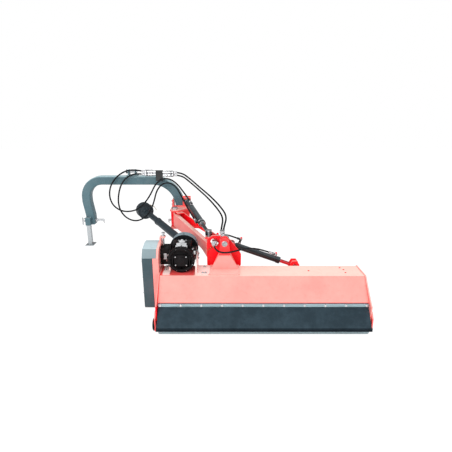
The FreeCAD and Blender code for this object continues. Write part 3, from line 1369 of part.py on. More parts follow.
build()
check_objects()
export()
box = Part.makeCompound([item.Shape for item in PARTS]).BoundBox
print("sub-parts:", len(PARTS))
print("bounding box: x %.1f..%.1f  y %.1f..%.1f  z %.1f..%.1f"
      % (box.XMin, box.XMax, box.YMin, box.YMax, box.ZMin, box.ZMax))
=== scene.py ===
import math

import bmesh
import bpy
from mathutils import Matrix, Vector


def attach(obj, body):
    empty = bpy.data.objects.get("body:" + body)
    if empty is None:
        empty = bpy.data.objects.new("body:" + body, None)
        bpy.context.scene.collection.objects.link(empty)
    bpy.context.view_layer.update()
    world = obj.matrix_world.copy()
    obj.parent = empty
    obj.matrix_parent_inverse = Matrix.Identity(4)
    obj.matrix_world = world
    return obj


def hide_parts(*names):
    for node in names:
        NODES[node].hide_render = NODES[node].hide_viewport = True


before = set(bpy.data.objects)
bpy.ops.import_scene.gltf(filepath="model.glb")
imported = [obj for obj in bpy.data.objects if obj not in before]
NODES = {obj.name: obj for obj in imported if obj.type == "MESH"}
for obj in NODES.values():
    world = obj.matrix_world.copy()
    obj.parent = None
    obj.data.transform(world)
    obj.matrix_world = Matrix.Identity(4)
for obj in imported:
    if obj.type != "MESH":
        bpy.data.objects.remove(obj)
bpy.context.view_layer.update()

# Places are given in millimetres from the cutting head's middle, as in part.py; at() turns them
# into the row's frame in metres.
HEAD = Vector((0.4381, -0.6645, 0.0))
MM = 0.001

UP, REAR = (0, 0, 1), (0, -1, 0)
LEFTWARD, RIGHTWARD = (-1, 0, 0), (1, 0, 0)
WHITE = (1.0, 1.0, 1.0, 1.0)


def at(x, y, z):
    return HEAD + Vector((x, y, z)) * MM


def turn_of(step, steps):
    """The angle of one of several even steps round a circle."""
    return 2 * math.pi * step / steps


# ---- material nodes ---------------------------------------------------------------------------

# Every material by the name given here; Blender's own name for it may get a number.
LOOKS = {}
COAT_ROUGHNESS = 0.12
# The colour sockets of a mix node, several of which share a name.
MIX_FACTOR, MIX_FIRST, MIX_SECOND, MIX_RESULT = 0, 6, 7, 2


class Look:
    """A node material: a Principled shader plus the texture nodes that feed it."""

    def __init__(self, name, rough=0.5, metal=0.0, coat=0.0, specular=0.5):
        LOOKS[name] = material = bpy.data.materials.new(name)
        material.use_nodes = True
        self.tree = material.node_tree
        self.shader = self.tree.nodes["Principled BSDF"]
        self.set("Roughness", rough)
        self.set("Metallic", metal)
        self.set("Coat Weight", coat)
        self.set("Coat Roughness", COAT_ROUGHNESS)
        self.set("Specular IOR Level", specular)
        coordinates = self.node("ShaderNodeTexCoord")
        self.place = coordinates.outputs["Object"]
        self.normal = coordinates.outputs["Normal"]
        self.bumped = None

    def node(self, kind, **values):
        made = self.tree.nodes.new(kind)
        for key, value in values.items():
            setattr(made, key, value)
        return made

    def set(self, socket, value):
        self.shader.inputs[socket].default_value = value

    def link(self, output, target):
        self.tree.links.new(output, target)

    def feed(self, value, socket):
        """Gives a socket a number, a colour or another node's output."""
        if isinstance(value, (int, float)):
            socket.default_value = value
        elif isinstance(value, tuple):
            socket.default_value = value + (1.0,)
        else:
            self.link(value, socket)

    def axes(self, vector):
        """The X, Y and Z outputs of a vector."""
        parts = self.node("ShaderNodeSeparateXYZ")
        self.link(vector, parts.inputs[0])
        return parts.outputs

    def stretched(self, scale):
        mapping = self.node("ShaderNodeMapping")
        mapping.inputs["Scale"].default_value = scale
        self.link(self.place, mapping.inputs["Vector"])
        return mapping.outputs["Vector"]

    def noise(self, scale, detail, rough=0.55, vector=None):
        made = self.node("ShaderNodeTexNoise")
        made.inputs["Scale"].default_value = scale
        made.inputs["Detail"].default_value = detail
        made.inputs["Roughness"].default_value = rough
        self.link(vector or self.place, made.inputs["Vector"])
        return made.outputs["Fac"]

    def cells(self, scale):
        made = self.node("ShaderNodeTexVoronoi")
        made.inputs["Scale"].default_value = scale
        self.link(self.place, made.inputs["Vector"])
        return made.outputs["Distance"]

    def band(self, value, low, high, to_low=0.0, to_high=1.0):
        """Maps low..high to to_low..to_high, held at both ends."""
        made = self.node("ShaderNodeMapRange")
        sockets = ("From Min", "From Max", "To Min", "To Max")
        for socket, number in zip(sockets, (low, high, to_low, to_high)):
            made.inputs[socket].default_value = number
        self.link(value, made.inputs["Value"])
        return made.outputs["Result"]

    def stains(self, scale, low, high, most, detail=6.0, rough=0.7):
        """Noise that shows above low, and most of all from high on."""
        return self.band(self.noise(scale, detail, rough), low, high, 0.0, most)

    def math(self, kind, a, b):
        made = self.node("ShaderNodeMath", operation=kind)
        for socket, value in zip(made.inputs, (a, b)):
            self.feed(value, socket)
        return made.outputs["Value"]

    def mix(self, factor, first, second):
        made = self.node("ShaderNodeMix", data_type="RGBA", blend_type="MIX")
        self.feed(factor, made.inputs[MIX_FACTOR])
        self.feed(first, made.inputs[MIX_FIRST])
        self.feed(second, made.inputs[MIX_SECOND])
        return made.outputs[MIX_RESULT]

    def colour(self, output):
        self.link(output, self.shader.inputs["Base Color"])

    def roughness(self, value, low, high, smoother, rougher):
        """Spreads the shader's roughness: value's low..high becomes smoother..rougher."""
        self.link(self.band(value, low, high, smoother, rougher), self.shader.inputs["Roughness"])

    def bump(self, height, distance, strength):
        """Adds relief of a height in metres on top of the relief made before."""
        made = self.node("ShaderNodeBump")
        made.inputs["Distance"].default_value = distance
        made.inputs["Strength"].default_value = strength
        self.link(height, made.inputs["Height"])
        if self.bumped:
            self.link(self.bumped, made.inputs["Normal"])
        self.bumped = made.outputs["Normal"]
        self.link(self.bumped, self.shader.inputs["Normal"])


def shade(tone, times, plus=0.0):
    """A darker or paler version of a colour."""
    return tuple(min(1.0, times * part + plus) for part in tone)


# Painted light: paint turns paler between a surface that leans up this much and one that is nearly
# level, in patches.
LEANING, LEVEL = 0.25, 0.95
PATCHINESS = 0.05
# How much of the painted light a region of painted shade takes away, and how strong grime is at most.
PAINTED_SHADE_DEPTH = 0.86
GRIME = 0.16
DUST_TONE = (0.42, 0.38, 0.33)
DIRT_TONE = (0.07, 0.062, 0.055)
PLASTIC_ROUGH = 0.45
# Painted shade on the guard: its faces are dark where their normal's Y is at the first value, and pale
# from the second.
SHADE_FACING, LIT_FACING = -0.95, -0.8


def keep_painted_shade(look, factor, regions):
    """Painted shade: keeps paint nearly deep in regions: two corners and a soft edge, in head
    millimetres.
    """
    parts = look.axes(look.place)
    for low, high, edge in regions:
        inside = PAINTED_SHADE_DEPTH
        for axis, a, b in zip("XYZ", at(*low), at(*high)):
            rise = look.band(parts[axis], a - edge * MM, a + edge * MM)
            fall = look.band(parts[axis], b - edge * MM, b + edge * MM, 1.0, 0.0)
            inside = look.math("MULTIPLY", look.math("MULTIPLY", rise, fall), inside)
        factor = look.math("MULTIPLY", factor, look.math("SUBTRACT", 1.0, inside))
    return factor


def paint(name, deep, lit_tone, lit_share=0.0, up_lit_share=1.0, coat=0.12, rough=0.38, dust=0.0,
          specular=0.22, shaded=()):
    """Enamel with painted light: paler towards the lit tone, by one share on upright surfaces and
    another on level ones; shaded regions keep painted shade.
    """
    look = Look(name, rough=rough, coat=coat, specular=specular)
    patch = look.noise(scale=5.0, detail=5.0, rough=0.6)
    up = look.band(look.axes(look.normal)["Z"], LEANING, LEVEL, lit_share, up_lit_share)
    uneven = look.band(patch, low=0.3, high=0.7, to_low=-PATCHINESS, to_high=PATCHINESS)
    factor = look.math("ADD", up, uneven)
    base = look.mix(keep_painted_shade(look, factor, shaded), deep, lit_tone)
    grime = look.stains(scale=38.0, low=0.52, high=0.8, most=GRIME)
    base = look.mix(grime, base, shade(deep, times=0.45))
    if dust:
        settled = look.stains(scale=14.0, low=0.42, high=0.7, most=1.0, rough=0.65)
        base = look.mix(look.math("MULTIPLY", settled, dust), base, DUST_TONE)
    look.colour(base)
    look.roughness(look.noise(scale=60.0, detail=3.0), low=0.3, high=0.75,
                   smoother=rough - 0.06, rougher=rough + 0.14)
    look.bump(look.noise(scale=420.0, detail=2.0), distance=0.0003, strength=0.35)
    look.bump(look.noise(scale=7.0, detail=2.0), distance=0.0012, strength=0.25)


def steel(name, tone, rough=0.34, grain=(2.0, 60.0, 60.0), dirt=0.25, metal=1.0):
    """Rolled or plated steel with a fine grain, stains and scratches."""
    look = Look(name, rough=rough, metal=metal)
    streak = look.noise(scale=30.0, detail=5.0, rough=0.7, vector=look.stretched(grain))
    stain = look.stains(scale=11.0, low=0.45, high=0.78, most=dirt)
    base = look.mix(look.band(streak, low=0.3, high=0.7), shade(tone, times=0.8), tone)
    look.colour(look.mix(stain, base, DIRT_TONE))
    look.roughness(streak, low=0.25, high=0.75, smoother=rough - 0.08, rougher=rough + 0.16)
    look.bump(streak, distance=0.0002, strength=0.4)


def casting(name, tone, rough=0.5, specular=0.28):
    """Painted sand casting with a pebbled skin and oily patches."""
    look = Look(name, rough=rough, specular=specular)
    patch = look.band(look.noise(scale=16.0, detail=5.0), low=0.35, high=0.7)
    look.colour(look.mix(patch, tone, shade(tone, times=1.8, plus=0.004)))
    look.roughness(look.noise(scale=22.0, detail=5.0), low=0.35, high=0.7,
                   smoother=rough - 0.16, rougher=rough + 0.12)
    look.bump(look.noise(scale=240.0, detail=3.0, rough=0.6), distance=0.0009, strength=0.6)


def moulded(look):
    """The fine matt texture of moulded plastic."""
    look.roughness(look.noise(scale=50.0, detail=4.0), low=0.3, high=0.7,
                   smoother=PLASTIC_ROUGH - 0.08, rougher=PLASTIC_ROUGH + 0.15)
    look.bump(look.noise(scale=700.0, detail=2.0), distance=0.0003, strength=0.5)


def plastic(name, tone):
    """Moulded plastic with scuffs."""
    look = Look(name, rough=PLASTIC_ROUGH, specular=0.25)
    scuff = look.stains(scale=24.0, low=0.5, high=0.8, most=0.5)
    look.colour(look.mix(scuff, tone, shade(tone, times=1.7, plus=0.01)))
    moulded(look)


def guard_plastic(name, outer, inner):
    """Moulded guard: pale outside, with painted shade on the faces that look back at the gearbox."""
    look = Look(name, rough=PLASTIC_ROUGH, specular=0.25)
    painted_shade = look.band(look.axes(look.normal)["Y"], SHADE_FACING, LIT_FACING, 1.0, 0.0)
    scuff = look.stains(scale=24.0, low=0.5, high=0.8, most=0.4)
    pale = look.mix(scuff, outer, shade(outer, times=1.5))
    look.colour(look.mix(painted_shade, pale, inner))
    moulded(look)


def rubber(name, tone, rough=0.62, weave=0.0):
    """Rubber with a dusty bloom; a woven cover where weave is its scale."""
    look = Look(name, rough=rough, specular=0.16)
    bloom = look.stains(scale=9.0, low=0.42, high=0.8, most=0.45)
    look.colour(look.mix(bloom, tone, shade(tone, times=2.6, plus=0.014)))
    look.roughness(look.noise(scale=40.0, detail=4.0), low=0.3, high=0.7,
                   smoother=rough - 0.12, rougher=rough + 0.14)
    if weave:
        look.bump(look.cells(weave), distance=0.0004, strength=0.6)
    else:
        look.bump(look.noise(scale=160.0, detail=4.0), distance=0.0005, strength=0.5)


# ---- looks of the nodes -----------------------------------------------------------------------

RED_DEEP = (0.98, 0.003, 0.012)
RED_LIT = (1.0, 0.52, 0.46)
ARCH = (0.042, 0.104, 0.130)
ARCH_LIT = (0.42, 0.58, 0.62)
# Painted shadow: places kept deep red because they lie in shade, the deck under the gearbox and the
# bracket behind the turret.
SHADOW_UNDER_GEARBOX = ((-760, 158, 352), (-480, 340, 400), 8)
SHADOW_BEHIND_TURRET = ((-360, 240, 474), (-170, 340, 620), 2)

# Painted light: lit and shaded copies of one red paint, each paler by its own amount where its parts
# are lit.
paint("red_panel", RED_DEEP, (1.0, 0.68, 0.59), lit_share=-0.12, shaded=(SHADOW_UNDER_GEARBOX,))
paint("red_plate", RED_DEEP, RED_LIT, lit_share=0.6)
paint("red_foot", RED_DEEP, (1.0, 0.80, 0.75), lit_share=0.72)
paint("red_ear", RED_DEEP, RED_LIT, lit_share=0.22)
paint("red_arm", RED_DEEP, (1.0, 0.60, 0.53), lit_share=0.42)
paint("red_bracket", RED_DEEP, RED_LIT, lit_share=0.62, shaded=(SHADOW_BEHIND_TURRET,))
paint("red_shade", RED_DEEP, RED_LIT, up_lit_share=0.8)
# Painted highlights: paler upper faces on the arch and the belt cover, and a paler upper side on the
# black paint.
paint("frame_paint", ARCH, ARCH_LIT, lit_share=0.1, rough=0.42, dust=0.05, coat=0.1)
paint("cover_paint", (0.040, 0.072, 0.085), (0.48, 0.60, 0.64), lit_share=0.03, rough=0.42, coat=0.1)
paint("black_paint", (0.007, 0.008, 0.010), (0.06, 0.078, 0.088), up_lit_share=0.9,
      rough=0.3, coat=0.6, specular=0.3)
casting("cast_black", (0.004, 0.003, 0.0035), rough=0.42, specular=0.13)
plastic("black_plastic", (0.026, 0.038, 0.047))
guard_plastic("guard_plastic", (0.20, 0.26, 0.29), (0.006, 0.008, 0.010))
steel("zinc", (0.66, 0.68, 0.70))
steel("bare_steel", (0.05, 0.085, 0.10), rough=0.45, dirt=0.4)
steel("roller_steel", (0.44, 0.56, 0.60), rough=0.3, dirt=0.2)
steel("bright_zinc", (0.9, 0.93, 0.95), rough=0.3, dirt=0.05, metal=0.35)
steel("strip_zinc", (0.52, 0.70, 0.75), rough=0.5, dirt=0.15)
steel("plated_steel", (0.82, 0.83, 0.85), rough=0.2, dirt=0.08)
steel("dark_chrome", (0.20, 0.23, 0.25), rough=0.18, dirt=0.2)
# Painted reflection: chrome coloured red for the red deck that the tilt rod mirrors.
steel("chrome_painted_red_reflection", (0.95, 0.10, 0.12), rough=0.22, dirt=0.05)
steel("galvanised", (0.60, 0.64, 0.66), rough=0.5, grain=(30.0, 30.0, 6.0), dirt=0.15)
rubber("flap_rubber", (0.018, 0.034, 0.046))
# Near-black rubber: painted shadow for the gap under the flap.
rubber("shadow_gap_black", (0.0012, 0.006, 0.011), rough=0.7)
rubber("hose_rubber", (0.006, 0.008, 0.010), rough=0.48, weave=900.0)
casting("forged_steel", (0.075, 0.068, 0.06), rough=0.55)
casting("cast_silver", (0.42, 0.43, 0.44), rough=0.4)
paint("red_gloss", RED_DEEP, RED_DEEP, rough=0.25)
steel("brass", (0.72, 0.52, 0.22), rough=0.35)

NODES_OF = {
    "red_panel": "housing_shell",
    "red_plate": "side_plate_right belt_case",
    "red_foot": "gearbox_feet",
    "red_bracket": "pivot_bracket",
    "red_ear": "frame_hinge_bracket roller_brackets",
    "red_arm": "arm_plate_near",
    "red_shade": "side_plate_left tilt_lugs arm_plate_far arm_hub turret",
    "frame_paint": "arch_frame stand_socket top_link_bracket",
    "cover_paint": "belt_cover",
    "black_paint": "coupler_block tilt_barrel swing_barrel rotor",
    "cast_black": "gearbox_housing gearbox_rear_cover",
    "black_plastic": "driveshaft_rear driveshaft_front",
    "guard_plastic": "pto_guard",
    "zinc": "flap_bolts swing_pin swing_anchor_pin tilt_pivot_shaft arm_cylinder_pins tilt_rod_pin "
            "tensioner_screw stand_lock_screw top_link_pin lower_link_pins hose_junction",
    "bare_steel": "input_shaft",
    "roller_steel": "rear_roller",
    "strip_zinc": "flap_strip",
    "plated_steel": "hose_couplers",
    "chrome_painted_red_reflection": "tilt_rod",
    "dark_chrome": "swing_rod",
    "galvanised": "parking_stand",
    "flap_rubber": "rubber_flap front_flaps drive_belts",
    "hose_rubber": "feed_hose_left feed_hose_right loop_hose_outer loop_hose_inner tilt_hose_base "
                   "tilt_hose_rod",
    "forged_steel": "flail_row_1 flail_row_2 flail_row_3 flail_row_4 rotor_bearings rotor_pulley "
                    "upper_pulley",
}

# Rounded edges in metres; a node that isn't named here gets the usual width.
USUAL_EDGE = 0.0012
EDGE_OF = {
    "housing_shell": 0.002, "turret": 0.002, "arm_plate_near": 0.002, "arm_plate_far": 0.002,
    "pivot_bracket": 0.002, "belt_cover": 0.004, "arch_frame": 0.011, "gearbox_rear_cover": 0.003,
    "gearbox_housing": 0.002, "rotor": 0.0, "rubber_flap": 0.0005, "flap_strip": 0.0008,
}
WELD_DISTANCE = 1e-5
SMOOTH_ANGLE = math.radians(24)
BEVEL_ANGLE = math.radians(42)


def smooth_by_angle():
    """A node group that shades smooth across edges flatter than the smooth angle."""
    group = bpy.data.node_groups.new("smooth_by_angle", "GeometryNodeTree")
    group.interface.new_socket("Geometry", in_out="INPUT", socket_type="NodeSocketGeometry")
    group.interface.new_socket("Geometry", in_out="OUTPUT", socket_type="NodeSocketGeometry")
    start, end = group.nodes.new("NodeGroupInput"), group.nodes.new("NodeGroupOutput")
    faces = group.nodes.new("GeometryNodeSetShadeSmooth")
    edges = group.nodes.new("GeometryNodeSetShadeSmooth")
    edges.domain = "EDGE"
    edges.inputs["Shade Smooth"].default_value = False
    angle = group.nodes.new("GeometryNodeInputMeshEdgeAngle")
    sharp = group.nodes.new("FunctionNodeCompare")
    sharp.operation = "GREATER_THAN"
    sharp.inputs["B"].default_value = SMOOTH_ANGLE
    group.links.new(start.outputs[0], faces.inputs["Geometry"])
    group.links.new(faces.outputs[0], edges.inputs["Geometry"])
    group.links.new(angle.outputs["Unsigned Angle"], sharp.inputs["A"])
    group.links.new(sharp.outputs[0], edges.inputs["Selection"])
    group.links.new(edges.outputs[0], end.inputs[0])
    return group


def round_edges(holder, width, segments=3):
    """A small bevel on sharp edges, so that they catch the light as real edges do."""
    if not width:
        return
    bevel = holder.modifiers.new("edges", "BEVEL")
    bevel.width = width
    bevel.segments = segments
    bevel.limit_method = "ANGLE"
    bevel.angle_limit = BEVEL_ANGLE
    bevel.use_clamp_overlap = True
    bevel.harden_normals = False


def dress_nodes():
    """Gives each CAD node its material, smooth curves and rounded edges."""
    smooth = smooth_by_angle()
    for look, names in NODES_OF.items():
        for name in names.split():
            node = NODES[name]
            node.data.materials.clear()
            node.data.materials.append(LOOKS[look])
            weld = node.modifiers.new("weld", "WELD")
            weld.merge_threshold = WELD_DISTANCE
            node.modifiers.new("smooth", "NODES").node_group = smooth
            round_edges(node, EDGE_OF.get(name, USUAL_EDGE))


dress_nodes()


# ---- camera, light and floor ------------------------------------------------------------------

CAMERA_PLACE = (-255, -2259, 1441)
CAMERA_LENS = 29.55
CAMERA_SENSOR = 36.0
# How far the camera looks down, in degrees below the horizon.
CAMERA_PITCH = 16.5

# The world's light on the object, in its reflections, and as the camera sees it behind the object.
AMBIENT = 0.85
GLOSS_LIGHT = 0.34
BACKDROP = 1.0

FLOOR_REACH = 14.0
FLOOR_DROP = 0.0005
FLOOR_GREY = (0.9, 0.9, 0.9, 1.0)
FLOOR_ROUGHNESS = 0.9
# The camera sees this share of the floor as a glow of this strength, so that it looks white.
FLOOR_GLOW = 1.12
FLOOR_GLOW_SHARE = 0.86

# Each light's name, place, target, size in metres and power in watts.
LIGHTS = (
    ("key", (-1.9, -4.6, 2.3), (0, 0, 0.4), (2.8, 2.2), 125),
    ("fill", (3.6, -2.4, 2.4), (0.2, 0, 0.3), (2.5, 2.5), 26),
    ("top", (0.2, 0.6, 4.4), (0.1, 0, 0.3), (3.0, 3.0), 26),
)


def make_camera():
    camera = bpy.data.cameras.new("camera")
    camera.lens = CAMERA_LENS
    camera.sensor_width = CAMERA_SENSOR
    holder = bpy.data.objects.new("camera", camera)
    holder.location = at(*CAMERA_PLACE)
    holder.rotation_euler = (math.radians(90 - CAMERA_PITCH), 0, 0)
    bpy.context.scene.collection.objects.link(holder)
    bpy.context.scene.camera = holder


def area_light(name, place, target, size, power):
    light = bpy.data.lights.new(name, "AREA")
    light.shape = "RECTANGLE"
    light.size, light.size_y = size
    light.energy = power
    holder = bpy.data.objects.new(name, light)
    holder.location = place
    holder.rotation_euler = (Vector(target) - Vector(place)).to_track_quat("-Z", "Y").to_euler()
    bpy.context.scene.collection.objects.link(holder)


def make_world():
    """An even white light, weaker in reflections and white where the camera looks past the floor."""
    world = bpy.data.worlds.new("world")
    bpy.context.scene.world = world
    world.use_nodes = True
    tree = world.node_tree
    light_path = tree.nodes.new("ShaderNodeLightPath")
    background = tree.nodes["Background"]
    background.inputs["Color"].default_value = WHITE
    background.inputs["Strength"].default_value = AMBIENT
    surface = background.outputs[0]
    for kind, strength in (("Is Glossy Ray", GLOSS_LIGHT), ("Is Camera Ray", BACKDROP)):
        other = tree.nodes.new("ShaderNodeBackground")
        other.inputs["Color"].default_value = WHITE
        other.inputs["Strength"].default_value = strength
        choice = tree.nodes.new("ShaderNodeMixShader")
        tree.links.new(light_path.outputs[kind], choice.inputs[0])
        tree.links.new(surface, choice.inputs[1])
        tree.links.new(other.outputs[0], choice.inputs[2])
        surface = choice.outputs[0]
    tree.links.new(surface, tree.nodes["World Output"].inputs["Surface"])


def floor_material():
    material = bpy.data.materials.new("floor")
    material.use_nodes = True
    tree = material.node_tree
    shader = tree.nodes["Principled BSDF"]
    shader.inputs["Base Color"].default_value = FLOOR_GREY
    shader.inputs["Roughness"].default_value = FLOOR_ROUGHNESS
    glow = tree.nodes.new("ShaderNodeEmission")
    glow.inputs["Strength"].default_value = FLOOR_GLOW
    seen = tree.nodes.new("ShaderNodeLightPath")
    share = tree.nodes.new("ShaderNodeMath")
    share.operation = "MULTIPLY"
    share.inputs[1].default_value = FLOOR_GLOW_SHARE
    tree.links.new(seen.outputs["Is Camera Ray"], share.inputs[0])
    blend = tree.nodes.new("ShaderNodeMixShader")
    tree.links.new(share.outputs[0], blend.inputs[0])
    tree.links.new(shader.outputs[0], blend.inputs[1])
    tree.links.new(glow.outputs[0], blend.inputs[2])
    tree.links.new(blend.outputs[0], tree.nodes["Material Output"].inputs["Surface"])
    return material


def make_floor():
    mesh = bpy.data.meshes.new("floor")
    corners = [(x * FLOOR_REACH, y * FLOOR_REACH, 0) for x, y in ((-1, -1), (1, -1), (1, 1), (-1, 1))]
    mesh.from_pydata(corners, [], [(0, 1, 2, 3)])
    floor = bpy.data.objects.new("floor", mesh)
    bpy.context.scene.collection.objects.link(floor)
    mesh.materials.append(floor_material())
    floor.location.z = -FLOOR_DROP


make_camera()
make_world()
make_floor()
for light in LIGHTS:
    area_light(*light)
bpy.context.scene.view_settings.view_transform = "Standard"


# ---- hoses ------------------------------------------------------------------------------------

FEED_HOSE_RADIUS, TILT_HOSE_RADIUS = 7, 6
HOSE_SIDES, HOSE_STEPS, HOSE_ORDER = 6, 10, 3

# Each hose's radius, the body that it rides and the control points of its line.
HOSES = {
    "feed_hose_left": (FEED_HOSE_RADIUS, "hitch_frame", [
        (-1003, 1144, 954.2), (-1085, 1143, 972), (-1178, 1132, 962), (-1262, 1120, 905),
        (-1318, 1112, 825), (-1335, 1108, 730), (-1308, 1106, 645), (-1240, 1106, 592),
        (-1160, 1106, 583), (-1078, 1107, 605), (-1008, 1110, 668), (-950, 1104, 748),
        (-905, 1100, 838), (-838, 1100, 898), (-760, 1102, 892), (-697, 1104, 842),
        (-640, 1085, 770), (-593.3, 1040, 716.7), (-568.2, 964.9, 705.7)]),
    "feed_hose_right": (FEED_HOSE_RADIUS, "hitch_frame", [
        (-1003, 1144, 928.3), (-1080, 1140, 938), (-1155, 1124, 912), (-1212, 1106, 850),
        (-1242, 1092, 758), (-1250, 1084, 662), (-1226, 1080, 580), (-1170, 1080, 520),
        (-1092, 1080, 498), (-1016, 1080, 528), (-951, 1080, 600), (-915, 1082, 695),
        (-890, 1078, 785), (-840, 1072, 850), (-768, 1066, 868), (-700, 1040, 832),
        (-648, 960, 760), (-590, 850, 690), (-535.1, 746.3, 637.3), (-503.7, 652.4, 623.6)]),
    "loop_hose_outer": (FEED_HOSE_RADIUS, "hitch_frame", [
        (-731, 1144, 945.6), (-660, 1141, 944), (-582, 1108, 892), (-495, 1040, 830),
        (-390, 925, 768), (-300, 780, 710), (-246, 645, 661), (-274, 520, 598), (-274, 432, 598)]),
    "loop_hose_inner": (FEED_HOSE_RADIUS, "hitch_frame", [
        (-731, 1144, 920.6), (-664, 1141, 919), (-590, 1108, 868), (-508, 1042, 812),
        (-412, 928, 752), (-328, 785, 694), (-276, 650, 647), (-292, 520, 598), (-292, 432, 598)]),
    "tilt_hose_base": (TILT_HOSE_RADIUS, "arm", [
        (-265, 425, 575), (-238, 427, 573), (-203.9, 445, 555.3), (-170, 445, 543.1)]),
    "tilt_hose_rod": (TILT_HOSE_RADIUS, "arm", [
        (-341, 352, 520), (-341, 286, 520), (-302, 231, 505), (-234, 231, 504), (-165, 262, 512),
        (-95, 320, 505), (-25, 388, 478), (45.9, 445, 440), (102.4, 445, 419.7)]),
}


def hose_curve(name, points, radius):
    curve = bpy.data.curves.new(name, "CURVE")
    curve.dimensions = "3D"
    curve.bevel_depth = radius
    curve.bevel_resolution = HOSE_SIDES
    curve.use_fill_caps = True
    curve.resolution_u = HOSE_STEPS
    spline = curve.splines.new("NURBS")
    spline.points.add(len(points) - 1)
    for target, point in zip(spline.points, points):
        target.co = (*point, 1.0)
    spline.order_u = HOSE_ORDER
    spline.use_endpoint_u = True
    holder = bpy.data.objects.new(name, curve)
    bpy.context.scene.collection.objects.link(holder)
    bpy.context.view_layer.update()
    return holder


def hose_length(points):
    """Length of the smooth line that a hose's control points give."""
    probe = hose_curve("probe", points, 0.0)
    mesh = bpy.data.meshes.new_from_object(probe.evaluated_get(bpy.context.evaluated_depsgraph_get()))
    line = [vertex.co.copy() for vertex in mesh.vertices]
    bpy.data.objects.remove(probe)
    return sum((end - start).length for start, end in zip(line, line[1:]))


def make_hoses():
    for name, (radius, body, route) in HOSES.items():
        points = [at(*point) for point in route]
        length = hose_length(points)
        hose = hose_curve(name + "_line", points, radius * MM)
        hose.data.materials.append(LOOKS["hose_rubber"])
        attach(hose, body)
        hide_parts(name)


make_hoses()


# ---- fittings too small for the construction --------------------------------------------------

# A washer's radius and a head's height for a bolt of radius 1, and where a head's chamfer starts.
WASHER_SPREAD, WASHER_THICK = 1.45, 1.6
HEAD_HEIGHT = 0.9
CHAMFER_START, CHAMFER_WIDTH = 0.8, 0.82
RING_SIDES = 8
# Bevels in metres, from wire, which has none, to rough castings.
NO_BEVEL, WASHER_BEVEL, FINE_BEVEL, TRIM_BEVEL = 0, 0.0003, 0.0004, 0.0006
CAST_BEVEL, SOFT_BEVEL = 0.0015, 0.002
BOX_FACES = ((0, 2, 3, 1), (4, 5, 7, 6), (0, 1, 5, 4), (2, 6, 7, 3), (0, 4, 6, 2), (1, 3, 7, 5))


class Trim:
    """A group of small fittings on one body with one material; places are head-frame millimetres."""

    def __init__(self, name, body, slot, look=None):
        self.name, self.body, self.slot_name, self.look = name, body, slot, look or slot
        self.mesh = bmesh.new()

    def lathe(self, start, along, profile, segments=24):
        """Turned shape: profile holds (distance along the axis, radius) pairs."""
        turn = Vector(along).normalized().to_track_quat("Z", "Y")
        rings = []
        for distance, radius in profile:
            ring = []
            for step in range(segments):
                angle = turn_of(step, segments)
                local = Vector((radius * math.cos(angle), radius * math.sin(angle), distance))
                ring.append(self.mesh.verts.new(at(*(Vector(start) + turn @ local))))
            rings.append(ring)
        for lower, upper in zip(rings, rings[1:]):
            for step in range(segments):
                after = (step + 1) % segments
                self.mesh.faces.new((lower[step], lower[after], upper[after], upper[step]))
        self.mesh.faces.new(rings[0][::-1])
        self.mesh.faces.new(rings[-1])

    def rod(self, start, end, radius, segments=20):
        run = Vector(end) - Vector(start)
        self.lathe(start, run, [(0, radius), (run.length, radius)], segments)

    def hex(self, start, along, radius, height):
        """A chamfered hexagon head."""
        profile = [(0, radius), (height * CHAMFER_START, radius), (height, radius * CHAMFER_WIDTH)]
        self.lathe(start, along, profile, 6)

    def bolt(self, start, along, radius):
        """A hexagon head on a washer."""
        spread = radius * WASHER_SPREAD
        self.lathe(start, along, [(0, spread), (WASHER_THICK, spread)])
        seat = Vector(start) + Vector(along).normalized() * WASHER_THICK
        self.hex(seat, along, radius, radius * HEAD_HEIGHT)

    def box(self, low, high, turn=None, about=None):
        """A box between two corners, turned about a place where a turn is given."""
        low, high = Vector(low), Vector(high)
        corners = [Vector((x, y, z))
                   for z in (low.z, high.z) for y in (low.y, high.y) for x in (low.x, high.x)]
        if turn:
            corners = [about + turn @ (corner - about) for corner in corners]
        verts = [self.mesh.verts.new(at(*corner)) for corner in corners]
        for face in BOX_FACES:
            self.mesh.faces.new([verts[index] for index in face])

    def ring(self, centre, along, radius, thick, segments=28):
        """A round wire ring."""
        turn = Vector(along).normalized().to_track_quat("Z", "Y")
        loops = []
        for step in range(segments):
            angle = turn_of(step, segments)
            outward = Vector((math.cos(angle), math.sin(angle), 0))
            loop = []
            for side in range(RING_SIDES):
                tilt = turn_of(side, RING_SIDES)
                offset = outward * (thick * math.cos(tilt)) + Vector((0, 0, thick * math.sin(tilt)))
                place = Vector(centre) + turn @ (outward * radius + offset)
                loop.append(self.mesh.verts.new(at(*place)))
            loops.append(loop)
        for here, there in zip(loops, loops[1:] + loops[:1]):
            for side in range(RING_SIDES):
                after = (side + 1) % RING_SIDES
                self.mesh.faces.new((here[side], there[side], there[after], here[after]))

    def done(self, bevel=TRIM_BEVEL):
        data = bpy.data.meshes.new(self.name)
        bmesh.ops.recalc_face_normals(self.mesh, faces=self.mesh.faces)
        self.mesh.to_mesh(data)
        self.mesh.free()
        for face in data.polygons:
            face.use_smooth = True
        data.materials.append(LOOKS[self.look])
        holder = bpy.data.objects.new(self.name, data)
        bpy.context.scene.collection.objects.link(holder)
        round_edges(holder, bevel, 2)
        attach(holder, self.body)


def across(way):
    """The level direction to the side of a direction, and the one above both."""
    side = way.cross(Vector(UP)).normalized()
    return side, side.cross(way).normalized()


# ---- gearbox and drive fittings ---------------------------------------------------------------

GEAR_CENTRE = Vector((-574, 320, 470.5))
GEAR_TURN = Matrix.Rotation(math.radians(5), 3, "X")
